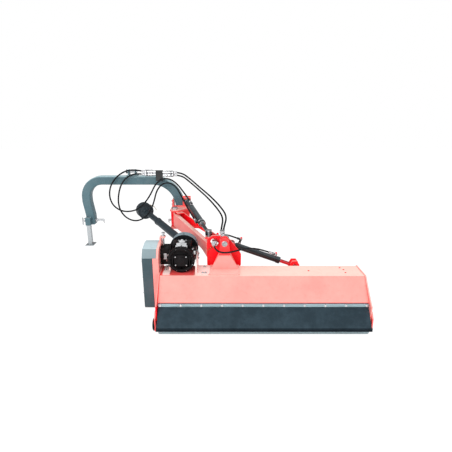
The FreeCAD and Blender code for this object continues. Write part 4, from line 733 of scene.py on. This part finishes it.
# The rear cover's outer face, the square plate's face that stands out from it, and the top's pads.
GEAR_BACK, GEAR_PLATE, GEAR_TOP = -124, -136, 94
GEAR_BOLT_RADIUS, GEAR_BOLT_HEIGHT = 5.5, 5
PLATE_BOLTS = ((-38, -32), (-38, 32), (38, -32), (38, 32))
COVER_BOLTS, COVER_BOLT_CIRCLE, COVER_BOLT_START = 8, 88, 22.5
TOP_BOLTS = ((-26, -48), (-26, 8), (26, -48), (26, 8))
# Bolts in the gearbox's right side: place and radius.
SIDE_BOLTS = (((108, -20, 22), 9), ((108, 22, -22), 7))
# Plugs and breather: place, direction, radius and height.
GEAR_PLUGS = (
    ((76, -60, 52), (0.8, -0.2, 0.6), 12, 16),
    ((-92, -70, 14), (-0.3, -0.9, 0.3), 11, 12),
    ((-104, -62, -30), (-0.4, -0.9, 0), 9, 10),
)
# Ribs fan out over the gearbox's top, each turned by this many degrees from the next.
RIB_SPREAD = 22
RIB_LOW, RIB_HIGH = Vector((-3, -96, 76)), Vector((3, 52, 92))
COVER_RIM = ((0, 97), (3, 97), (5, 94), (5, 80), (2, 77), (0, 76))
COVER_BOSS = ((0, 30), (3, 30), (4, 27))
# Cast pads: two beside the square plate, two on the top and one on the right.
GEAR_PADS = (
    ((-64, -133, -40), (-56, -123, 40)), ((56, -133, -40), (64, -123, 40)),
    ((-66, -64, 66), (-38, 24, 96)), ((38, -64, 66), (66, 24, 96)), ((82, -78, 10), (104, -20, 58)),
)
# The belt side's foot and bearing flange, in the head's frame.
BELT_FOOT = ((-669, 240, 376), (-653, 262, 472))
BELT_FLANGE_PLACE = (-669, 320, 470.5)
BELT_FLANGE = ((0, 64), (1, 69), (15, 69), (16, 64))
FILLER_CAP = ((0, 22), (8, 22), (11, 18), (11, 9), (20, 9), (22, 6))
# Bare cast flanges of the gearbox: two over the top, one on each side.
GEAR_FLANGES = (
    ((-42, -80, 76), (42, -64, 90)), ((-36, -66, 84), (36, -48, 102)),
    ((-136, -56, -26), (-112, -50, 26)), ((86, -82, 26), (100, -76, 52)),
)
GUARD_SCREWS, GUARD_SCREW_CIRCLE, GUARD_SCREW_START, GUARD_SCREW_PLACE = 6, 104, 30, 108
GUARD_SCREW = ((0, 5), (2.4, 5), (3.4, 3.5))


def gear(x, y, z):
    """A place in the gearbox's own frame, pitched up with it."""
    return GEAR_CENTRE + GEAR_TURN @ Vector((x, y, z))


def gear_way(x, y, z):
    return GEAR_TURN @ Vector((x, y, z))


def gear_round(radius, y, degrees):
    """A place on a circle about the gearbox's shaft, and the way out from the shaft there."""
    x, z = math.cos(math.radians(degrees)), math.sin(math.radians(degrees))
    return gear(radius * x, y, radius * z), gear_way(x, 0, z)


def make_gearbox_bolts():
    bolts = Trim("gearbox_bolts", "head", "zinc")
    back = gear_way(*REAR)
    for x, z in PLATE_BOLTS:
        bolts.hex(gear(x, GEAR_PLATE, z), back, GEAR_BOLT_RADIUS, GEAR_BOLT_HEIGHT)
    for step in range(COVER_BOLTS):
        degrees = COVER_BOLT_START + 360 / COVER_BOLTS * step
        place = gear_round(COVER_BOLT_CIRCLE, GEAR_BACK, degrees)[0]
        bolts.hex(place, back, GEAR_BOLT_RADIUS, GEAR_BOLT_HEIGHT)
    for x, y in TOP_BOLTS:
        bolts.bolt(gear(x, y, GEAR_TOP), gear_way(*UP), 6)
    for place, radius in SIDE_BOLTS:
        bolts.bolt(gear(*place), gear_way(*RIGHTWARD), radius)
    for place, way, radius, height in GEAR_PLUGS:
        bolts.hex(gear(*place), gear_way(*way), radius, height)
    bolts.done()


def make_gearbox_ribs():
    """Ribs, rims and pads of the gearbox's casting, and its flange and foot at the belt drive."""
    cast = Trim("gearbox_ribs", "head", "cast_black")
    back = gear_way(*REAR)
    for step in range(-3, 4):
        turn = GEAR_TURN @ Matrix.Rotation(math.radians(-RIB_SPREAD * step), 3, "Y")
        cast.box(GEAR_CENTRE + RIB_LOW, GEAR_CENTRE + RIB_HIGH, turn, GEAR_CENTRE)
    cast.lathe(gear(0, GEAR_BACK, 0), back, COVER_RIM, 64)
    cast.lathe(gear(0, GEAR_BACK - 6, 0), back, COVER_BOSS, 40)
    for low, high in GEAR_PADS:
        cast.box(gear(*low), gear(*high))
    cast.box(*BELT_FOOT)
    cast.lathe(BELT_FLANGE_PLACE, RIGHTWARD, BELT_FLANGE, 64)
    cast.done(CAST_BEVEL)


def make_gearbox_filler():
    """The filler cap on the gearbox's top, with the casting's bare flanges."""
    lid = Trim("gearbox_filler", "head", "plated_steel", "cast_silver")
    lid.lathe(gear(0, -22, GEAR_TOP), gear_way(*UP), FILLER_CAP, 32)
    for low, high in GEAR_FLANGES:
        lid.box(gear(*low), gear(*high))
    lid.done(SOFT_BEVEL)


def make_guard_fittings():
    trim = Trim("guard_screws", "head", "cast_black")
    for step in range(GUARD_SCREWS):
        degrees = GUARD_SCREW_START + 360 / GUARD_SCREWS * step
        trim.lathe(*gear_round(GUARD_SCREW_CIRCLE, GUARD_SCREW_PLACE, degrees), GUARD_SCREW, 12)
    trim.done()


SHAFT_WAY = Vector((-0.5137, 0.8550, 0.0715))
SHAFT_START = Vector((-574, 484.37, 484.88))
# Ridges of the shaft's guard: distance from the rear joint and radius; then its collar and cone.
REAR_RIDGES = ((112, 34), (128, 33), (560, 33.5), (572, 34.5))
FRONT_RIDGES = ((893, 76.5), (904, 76.2), (926, 76.2), (966, 76.5))
COLLAR_START, COLLAR = 46, ((0, 56), (3, 57.5), (8, 57.5), (10, 55))
CONE_START, CONE = 862, ((0, 30), (4, 34), (26, 44), (32, 60))
# The lock button's distance, radius and angle, and how far its direction leans from level.
BUTTON_PLACE, BUTTON_LEAN, BUTTON = (880, 44, 2.3), (0, 0.6, 0.5), ((0, 9), (6, 9), (8, 7))
GUARD_RING_START, GUARD_RING_RADIUS, GUARD_RING_THICK = 899, 70, 1.6
# The guard's chain by distance, radius and angle on the shaft; the pin's chain by places.
GUARD_CHAIN = ((878, 78, 0.5), (850, 86, 0.9), (842, 92, 1.4))
PIN_CHAIN = ((-394, 372, 470), (-372, 366, 488), (-352, 366, 508))
# Each chain's pitch and the wire's radius; a link's outline, as shares of its reach; and its reach
# as a share of the pitch.
PIN_CHAIN_LINK, GUARD_CHAIN_LINK = (9, 1.1), (12, 1.4)
LINK_OUTLINE = ((1, 0), (0.55, 0.5), (-0.55, 0.5), (-1, 0), (-0.55, -0.5), (0.55, -0.5))
LINK_REACH = 0.62


def shaft(distance, radius=0.0, angle=0.0):
    """A place near the driveshaft: along it from its rear joint, then out at an angle from the top."""
    side, lift = across(SHAFT_WAY)
    place = SHAFT_START + SHAFT_WAY * distance
    return place + lift * (radius * math.cos(angle)) + side * (radius * math.sin(angle))


def make_shaft_fittings():
    rear = Trim("shaft_guard_rear", "driveshaft_rear", "black_plastic")
    for start, radius in REAR_RIDGES:
        ridge = [(0, radius - 2), (1.5, radius), (7, radius), (8.5, radius - 2)]
        rear.lathe(shaft(start), SHAFT_WAY, ridge, 40)
    rear.lathe(shaft(COLLAR_START), SHAFT_WAY, COLLAR, 48)
    rear.done()
    front = Trim("shaft_guard_front", "driveshaft_front", "black_plastic")
    for start, radius in FRONT_RIDGES:
        ridge = [(0, radius - 1.6), (1.2, radius), (4.8, radius), (6, radius - 1.6)]
        front.lathe(shaft(start), SHAFT_WAY, ridge, 56)
    front.lathe(shaft(CONE_START), SHAFT_WAY, CONE, 48)
    front.done()
    button = Trim("shaft_lock_button", "driveshaft_front", "red_paint", "red_gloss")
    way = SHAFT_WAY.cross(Vector(UP)) - Vector(BUTTON_LEAN)
    button.lathe(shaft(*BUTTON_PLACE), way, BUTTON, 20)
    button.done()
    band = Trim("shaft_guard_ring", "driveshaft_front", "zinc", "brass")
    band.ring(shaft(GUARD_RING_START), SHAFT_WAY, GUARD_RING_RADIUS, GUARD_RING_THICK, 56)
    band.done(NO_BEVEL)


def chain(trim, places, pitch, thick):
    """Links from place to place, each turned a quarter from the one before it."""
    for start, end in zip(places, places[1:]):
        start, end = Vector(start), Vector(end)
        run = end - start
        way = run.normalized()
        count = max(1, round(run.length / pitch))
        side = run.cross(Vector(UP)).normalized()
        for index in range(count):
            centre = start + run * ((index + 0.5) / count)
            cross = side if index % 2 else run.cross(side).normalized()
            turn = Matrix((way, cross, way.cross(cross))).transposed()
            chain_link(trim, centre, turn, pitch * LINK_REACH, thick)


def chain_link(trim, centre, turn, reach, thick):
    corners = [centre + turn @ Vector((reach * u, reach * v, 0)) for u, v in LINK_OUTLINE]
    for start, end in zip(corners, corners[1:] + corners[:1]):
        trim.rod(start, end, thick, 6)


def make_chains():
    """Two fine chains: one holds a pin at the turret, one keeps the driveshaft's guard from turning."""
    pin_chain = Trim("pin_chain", "arm", "zinc", "brass")
    chain(pin_chain, PIN_CHAIN, *PIN_CHAIN_LINK)
    pin_chain.done(NO_BEVEL)
    guard_chain = Trim("guard_chain", "driveshaft_front", "zinc", "brass")
    chain(guard_chain, [shaft(*place) for place in GUARD_CHAIN], *GUARD_CHAIN_LINK)
    guard_chain.done(NO_BEVEL)


# ---- head fittings ----------------------------------------------------------------------------

# Faces that fittings stand on: the gearbox's feet, the deck, the roller brackets at both ends, the
# right side plate and the belt cover.
FEET_TOP, DECK_TOP = 368, 360
BRACKET_FACE, PLATE_FACE, COVER_FACE = 741, 733, -850
FOOT_BOLTS = ((-414, 298), (-400, 186), (-422, 186), (-694, 240), (-694, 306))
FOOT_SIDE_BOLTS = ((306, 456), (350, 456), (328, 428))
DECK_RIVETS = ((346, 241), (607, 262), (605, 206), (589, 297))
STRIP_BOLTS, STRIP_REACH, STRIP_HEIGHT, STRIP_FACE = 11, 705, 200.5, 17
BRACKET_DOMES = ((92, 146), (28, 146), (86, 112))
BEARING_BOLTS = ((250, 240), (305, 185), (250, 130), (195, 185))
COVER_SCREWS = ((194, 452), (194, 330), (194, 210), (330, 544), (426, 486))
FOOT_SIDE_FACE = -462
# Turned shapes, as distances along the axis and radii.
RIVET = ((0, 6.5), (2, 6.0), (3.4, 3.0))
STRIP_WASHER, STRIP_WASHER_THICK = ((0, 8.6), (1.4, 8.6), (2.4, 7.0), (2.4, 5.2)), 2.4
DOME = ((0, 10), (1.4, 9.4), (2.8, 7), (3.4, 3))
BEARING_CAP_PLACE = (PLATE_FACE, 250, 185)
BEARING_CAP = ((0, 40), (6, 40), (9, 36), (9, 14), (7, 12))
ROLLER_CAP_LEFT = ((0, 44), (11, 44), (15, 38), (15, 15), (18, 13))
ROLLER_CAP_RIGHT = ((0, 36), (2.4, 36), (3.2, 34))
# Corners of the strip of painted shadow under the flap.
FLAP_SHADOW_STRIP = ((-726, -79, 55), (726, -73, 80))


def make_foot_bolts():
    trim = Trim("foot_bolts", "head", "zinc")
    for x, y in FOOT_BOLTS:
        trim.bolt((x, y, FEET_TOP), UP, 6.5)
    for y, z in FOOT_SIDE_BOLTS:
        trim.bolt((FOOT_SIDE_FACE, y, z), RIGHTWARD, 7)
    trim.done()


def make_rivets():
    trim = Trim("deck_rivets", "head", "red_paint", "red_gloss")
    for x, y in DECK_RIVETS:
        trim.lathe((x, y, DECK_TOP), UP, RIVET, 16)
    trim.done()


def make_strip_washers():
    """A domed washer and a head over each bolt of the flap's strip."""
    trim = Trim("strip_washers", "head", "zinc", "bright_zinc")
    for index in range(STRIP_BOLTS):
        x = STRIP_REACH * (2 * index / (STRIP_BOLTS - 1) - 1)
        trim.lathe((x, STRIP_FACE, STRIP_HEIGHT), REAR, STRIP_WASHER, 24)
        trim.hex((x, STRIP_FACE - STRIP_WASHER_THICK, STRIP_HEIGHT), REAR, 6.6, 4.2)
    trim.done(WASHER_BEVEL)


def make_side_bolts():
    """Domes on the roller brackets, the rotor bearing's cap on the right and the cover's screws."""
    trim = Trim("side_bolts", "head", "zinc")
    for face, way in ((BRACKET_FACE, RIGHTWARD), (-BRACKET_FACE, LEFTWARD)):
        for y, z in BRACKET_DOMES:
            trim.lathe((face, y, z), way, DOME)
    for y, z in BEARING_BOLTS:
        trim.bolt((PLATE_FACE, y, z), RIGHTWARD, 7.5)
    trim.lathe(BEARING_CAP_PLACE, RIGHTWARD, BEARING_CAP, 40)
    for y, z in COVER_SCREWS:
        trim.bolt((COVER_FACE, y, z), LEFTWARD, 5)
    trim.done()


def make_flap_shadow_strip():
    """Painted shadow: a near-black strip under the rubber flap's lower edge, to the rear of the roller,
    for the shaded gap there.
    """
    shadow_strip = Trim("flap_shadow_strip", "head", "flap_rubber", "shadow_gap_black")
    shadow_strip.box(*FLAP_SHADOW_STRIP)
    shadow_strip.done(CAST_BEVEL)


def make_roller_caps():
    """The roller's bearing caps: a deep one on the left, and a thin plate on the right."""
    caps = Trim("roller_caps", "head", "forged_steel", "cast_black")
    caps.lathe((-BRACKET_FACE, 2, 66), LEFTWARD, ROLLER_CAP_LEFT, 48)
    caps.lathe((BRACKET_FACE, 2, 60), RIGHTWARD, ROLLER_CAP_RIGHT, 48)
    caps.done()


# ---- arm, hitch and cylinder fittings ---------------------------------------------------------

# Wire rings of the top link's pin, of both lower link pins and of the stand's: place, direction,
# radius and the wire's own radius.
PIN_RINGS = (
    ((-1176, 1200, 946), (1, 0, 0.3), 14, 2),
    ((-1435, 1200, 462), (1, 0, 0.2), 13, 2),
    ((-808, 1200, 462), (1, 0, 0.2), 13, 2),
)
STAND_RING = ((-1596, 1128, 500), (1, 0, 0.2), 13, 2.2)
# The tilt pivot's rear end, and two ports of the arm's hose junction.
PIVOT_END = (-265, 252.4, 563)
PIVOT_HEAD = ((0, 21), (1.5, 21), (2, 18), (9, 18), (10.4, 16), (10.4, 5), (9, 4))
TOP_PORT, REAR_PORT = (-318, 385, 584), (-330, 351, 534)
PORT_CAP_PLACE, PORT_CAP = (-318, 385, 592), ((0, 8), (10, 8), (12, 6))
# Bolts through the hinge bracket's plates: the plates' faces, and the bolts' depth and heights.
HINGE_LEFT_FACE, HINGE_RIGHT_FACE = -760, -639
HINGE_BOLT_DEPTH, HINGE_BOLT_HEIGHTS = 1172, (640, 672)
KNOB, KNOB_FRONT, KNOB_LOBES, KNOB_CIRCLE = (-1184, 1200, 946), (-1172, 1200, 946), 5, 13
# Hose ferrules: the body that each is fixed to, its hose, and which end of the hose it holds.
START, END = 0, -1
FERRULES = (
    ("hitch_frame", "feed_hose_left", START), ("hitch_frame", "feed_hose_right", START),
    ("hitch_frame", "loop_hose_outer", START), ("hitch_frame", "loop_hose_inner", START),
    ("arm", "loop_hose_outer", END), ("arm", "loop_hose_inner", END),
    ("arm", "tilt_hose_base", START), ("arm", "tilt_hose_rod", START),
    ("tilt_barrel", "tilt_hose_rod", END),
    ("swing_barrel", "feed_hose_left", END), ("swing_barrel", "feed_hose_right", END),
)
FERRULE_WALL, FERRULE_RIBS, FERRULE_PITCH, FERRULE_LENGTH, NUT_BACK = 3.2, 5, 5, 28, 12
# One rib and the groove after it, as distances and depths below the sleeve's surface.
FERRULE_RIB = ((2, 0), (5, 0), (5.6, 1), (6.4, 1))
# Hydraulic couplers: the hose that each starts, and the direction from the hose into the coupler.
COUPLERS = (
    ("feed_hose_left", RIGHTWARD), ("feed_hose_right", RIGHTWARD),
    ("loop_hose_outer", LEFTWARD), ("loop_hose_inner", LEFTWARD),
)
COUPLER_RINGS, COUPLER_START, COUPLER_PITCH, COUPLER_BAND_START = 3, 8, 26, 24
COUPLER_RING = ((0, 16.2), (1.2, 17.4), (12, 17.4), (13.2, 16.2))
COUPLER_BAND = ((0, 16.4), (4, 16.4))
TILT_BASE, TILT_WAY = Vector((-211, 445, 494)), Vector((0.94113, 0, -0.33804))
TILT_SIDE = Vector((0.33804, 0, 0.94113))
# The tilt cylinder's ports: distance along the barrel, and the height of each port's top.
TILT_PORTS = ((52, 60), (350, 36))
TILT_END_START, TILT_END = 396, ((0, 22), (2, 22), (3, 18), (3, 15))
TILT_SURFACE, TILT_CAP = 26, ((0, 7), (7, 7), (9, 5))
SWING_BASE, SWING_WAY = Vector((-620, 1120, 690)), Vector((0.314, -0.9393, -0.1369))
# The swing cylinder's end, gland and foot rings: distance, profile and segments; then its port.
SWING_RINGS = (
    (561, ((0, 25), (3, 25), (4, 20), (4, 15)), 36),
    (526, ((0, 28), (1.5, 30.4), (6, 30.4), (7.5, 28)), 40),
    (40, ((0, 25), (1, 27.6), (8, 27.6), (9, 26)), 40),
)
SWING_PORT, SWING_SURFACE = 190, 28


def make_arm_heads():
    heads = Trim("arm_pin_heads", "arm", "zinc")
    heads.lathe(PIVOT_END, REAR, PIVOT_HEAD, 40)
    heads.hex(TOP_PORT, UP, 10, 8)
    heads.hex(REAR_PORT, REAR, 9, 7)
    heads.done()
    cap = Trim("port_caps", "arm", "red_paint", "red_gloss")
    cap.lathe(PORT_CAP_PLACE, UP, PORT_CAP, 20)
    cap.done()


def make_hitch_bolts():
    hitch = Trim("hitch_bolts", "hitch_frame", "zinc")
    for z in HINGE_BOLT_HEIGHTS:
        hitch.bolt((HINGE_LEFT_FACE, HINGE_BOLT_DEPTH, z), LEFTWARD, 9)
        hitch.bolt((HINGE_RIGHT_FACE, HINGE_BOLT_DEPTH, z), RIGHTWARD, 9)
    for ring in PIN_RINGS:
        hitch.ring(*ring)
    hitch.done()


def make_knob():
    """The top link pin's star knob."""
    knob = Trim("top_link_knob", "hitch_frame", "black_plastic")
    for step in range(KNOB_LOBES):
        angle = turn_of(step, KNOB_LOBES)
        offset = Vector((0, KNOB_CIRCLE * math.cos(angle), KNOB_CIRCLE * math.sin(angle)))
        lobe = Vector(KNOB) + offset
        knob.rod(lobe, lobe + Vector((10, 0, 0)), 6.5, 16)
    knob.rod(KNOB, KNOB_FRONT, 12, 24)
    knob.done(CAST_BEVEL)


def hose_end(name, end):
    """The place of a hose's end, and the direction from there along the hose."""
    route = HOSES[name][2]
    place, inner = route[:2] if end == START else route[:-3:-1]
    return Vector(place), Vector(inner) - Vector(place)


def make_ferrules():
    """A ribbed sleeve with a nut on each hose's end."""
    groups = {}
    for body, name, end in FERRULES:
        if body not in groups:
            groups[body] = Trim(body + "_ferrules", body, "plated_steel")
        place, way = hose_end(name, end)
        hose = HOSES[name][0]
        grip = hose + FERRULE_WALL
        profile = [(-1, hose + 1), (0.5, grip - 0.6)]
        for rib in range(FERRULE_RIBS):
            for distance, depth in FERRULE_RIB:
                profile.append((distance + FERRULE_PITCH * rib, grip - depth))
        profile.append((FERRULE_LENGTH, hose + 0.6))
        groups[body].lathe(place, way, profile, 28)
        groups[body].hex(place - way.normalized() * NUT_BACK, way, hose + 5.5, 11)
    for trim in groups.values():
        trim.done(FINE_BEVEL)


def make_coupler_rings():
    bright = Trim("coupler_rings", "hitch_frame", "plated_steel")
    dark = Trim("coupler_bands", "hitch_frame", "black_plastic")
    for name, way in COUPLERS:
        end, inward = hose_end(name, START)[0], Vector(way)
        for step in range(COUPLER_RINGS):
            start = COUPLER_START + COUPLER_PITCH * step
            bright.lathe(end + inward * start, way, COUPLER_RING, 32)
        dark.lathe(end + inward * COUPLER_BAND_START, way, COUPLER_BAND, 32)
    bright.done()
    dark.done()


def make_tilt_cylinder_fittings():
    """The tilt cylinder's end ring, with two nuts and a red cap on each port."""
    ports = [(TILT_BASE + TILT_WAY * distance, top) for distance, top in TILT_PORTS]
    tilt = Trim("tilt_cylinder_fittings", "tilt_barrel", "zinc")
    tilt.lathe(TILT_BASE + TILT_WAY * TILT_END_START, TILT_WAY, TILT_END, 36)
    for port, top in ports:
        tilt.hex(port + TILT_SIDE * TILT_SURFACE, TILT_SIDE, 13, 9)
        tilt.hex(port + TILT_SIDE * (top + 1), TILT_SIDE, 12.5, 9)
    tilt.done()
    caps = Trim("tilt_port_caps", "tilt_barrel", "red_paint", "red_gloss")
    for port, top in ports:
        caps.lathe(port + TILT_SIDE * (top + 10), TILT_SIDE, TILT_CAP, 20)
    caps.done()


def make_swing_cylinder_fittings():
    swing = Trim("swing_cylinder_fittings", "swing_barrel", "zinc")
    for distance, profile, segments in SWING_RINGS:
        swing.lathe(SWING_BASE + SWING_WAY * distance, SWING_WAY, profile, segments)
    lift = across(SWING_WAY)[1]
    swing.hex(SWING_BASE + SWING_WAY * SWING_PORT + lift * SWING_SURFACE, lift, 13, 10)
    swing.done()


def make_stand_fittings():
    trim = Trim("stand_pin", "hitch_frame", "zinc")
    trim.ring(*STAND_RING)
    trim.done()


for make in (make_gearbox_bolts, make_gearbox_ribs, make_gearbox_filler, make_guard_fittings,
             make_foot_bolts, make_rivets, make_strip_washers, make_side_bolts, make_flap_shadow_strip,
             make_roller_caps, make_arm_heads, make_hitch_bolts, make_knob, make_ferrules,
             make_coupler_rings, make_shaft_fittings, make_chains, make_tilt_cylinder_fittings,
             make_swing_cylinder_fittings, make_stand_fittings):
    make()
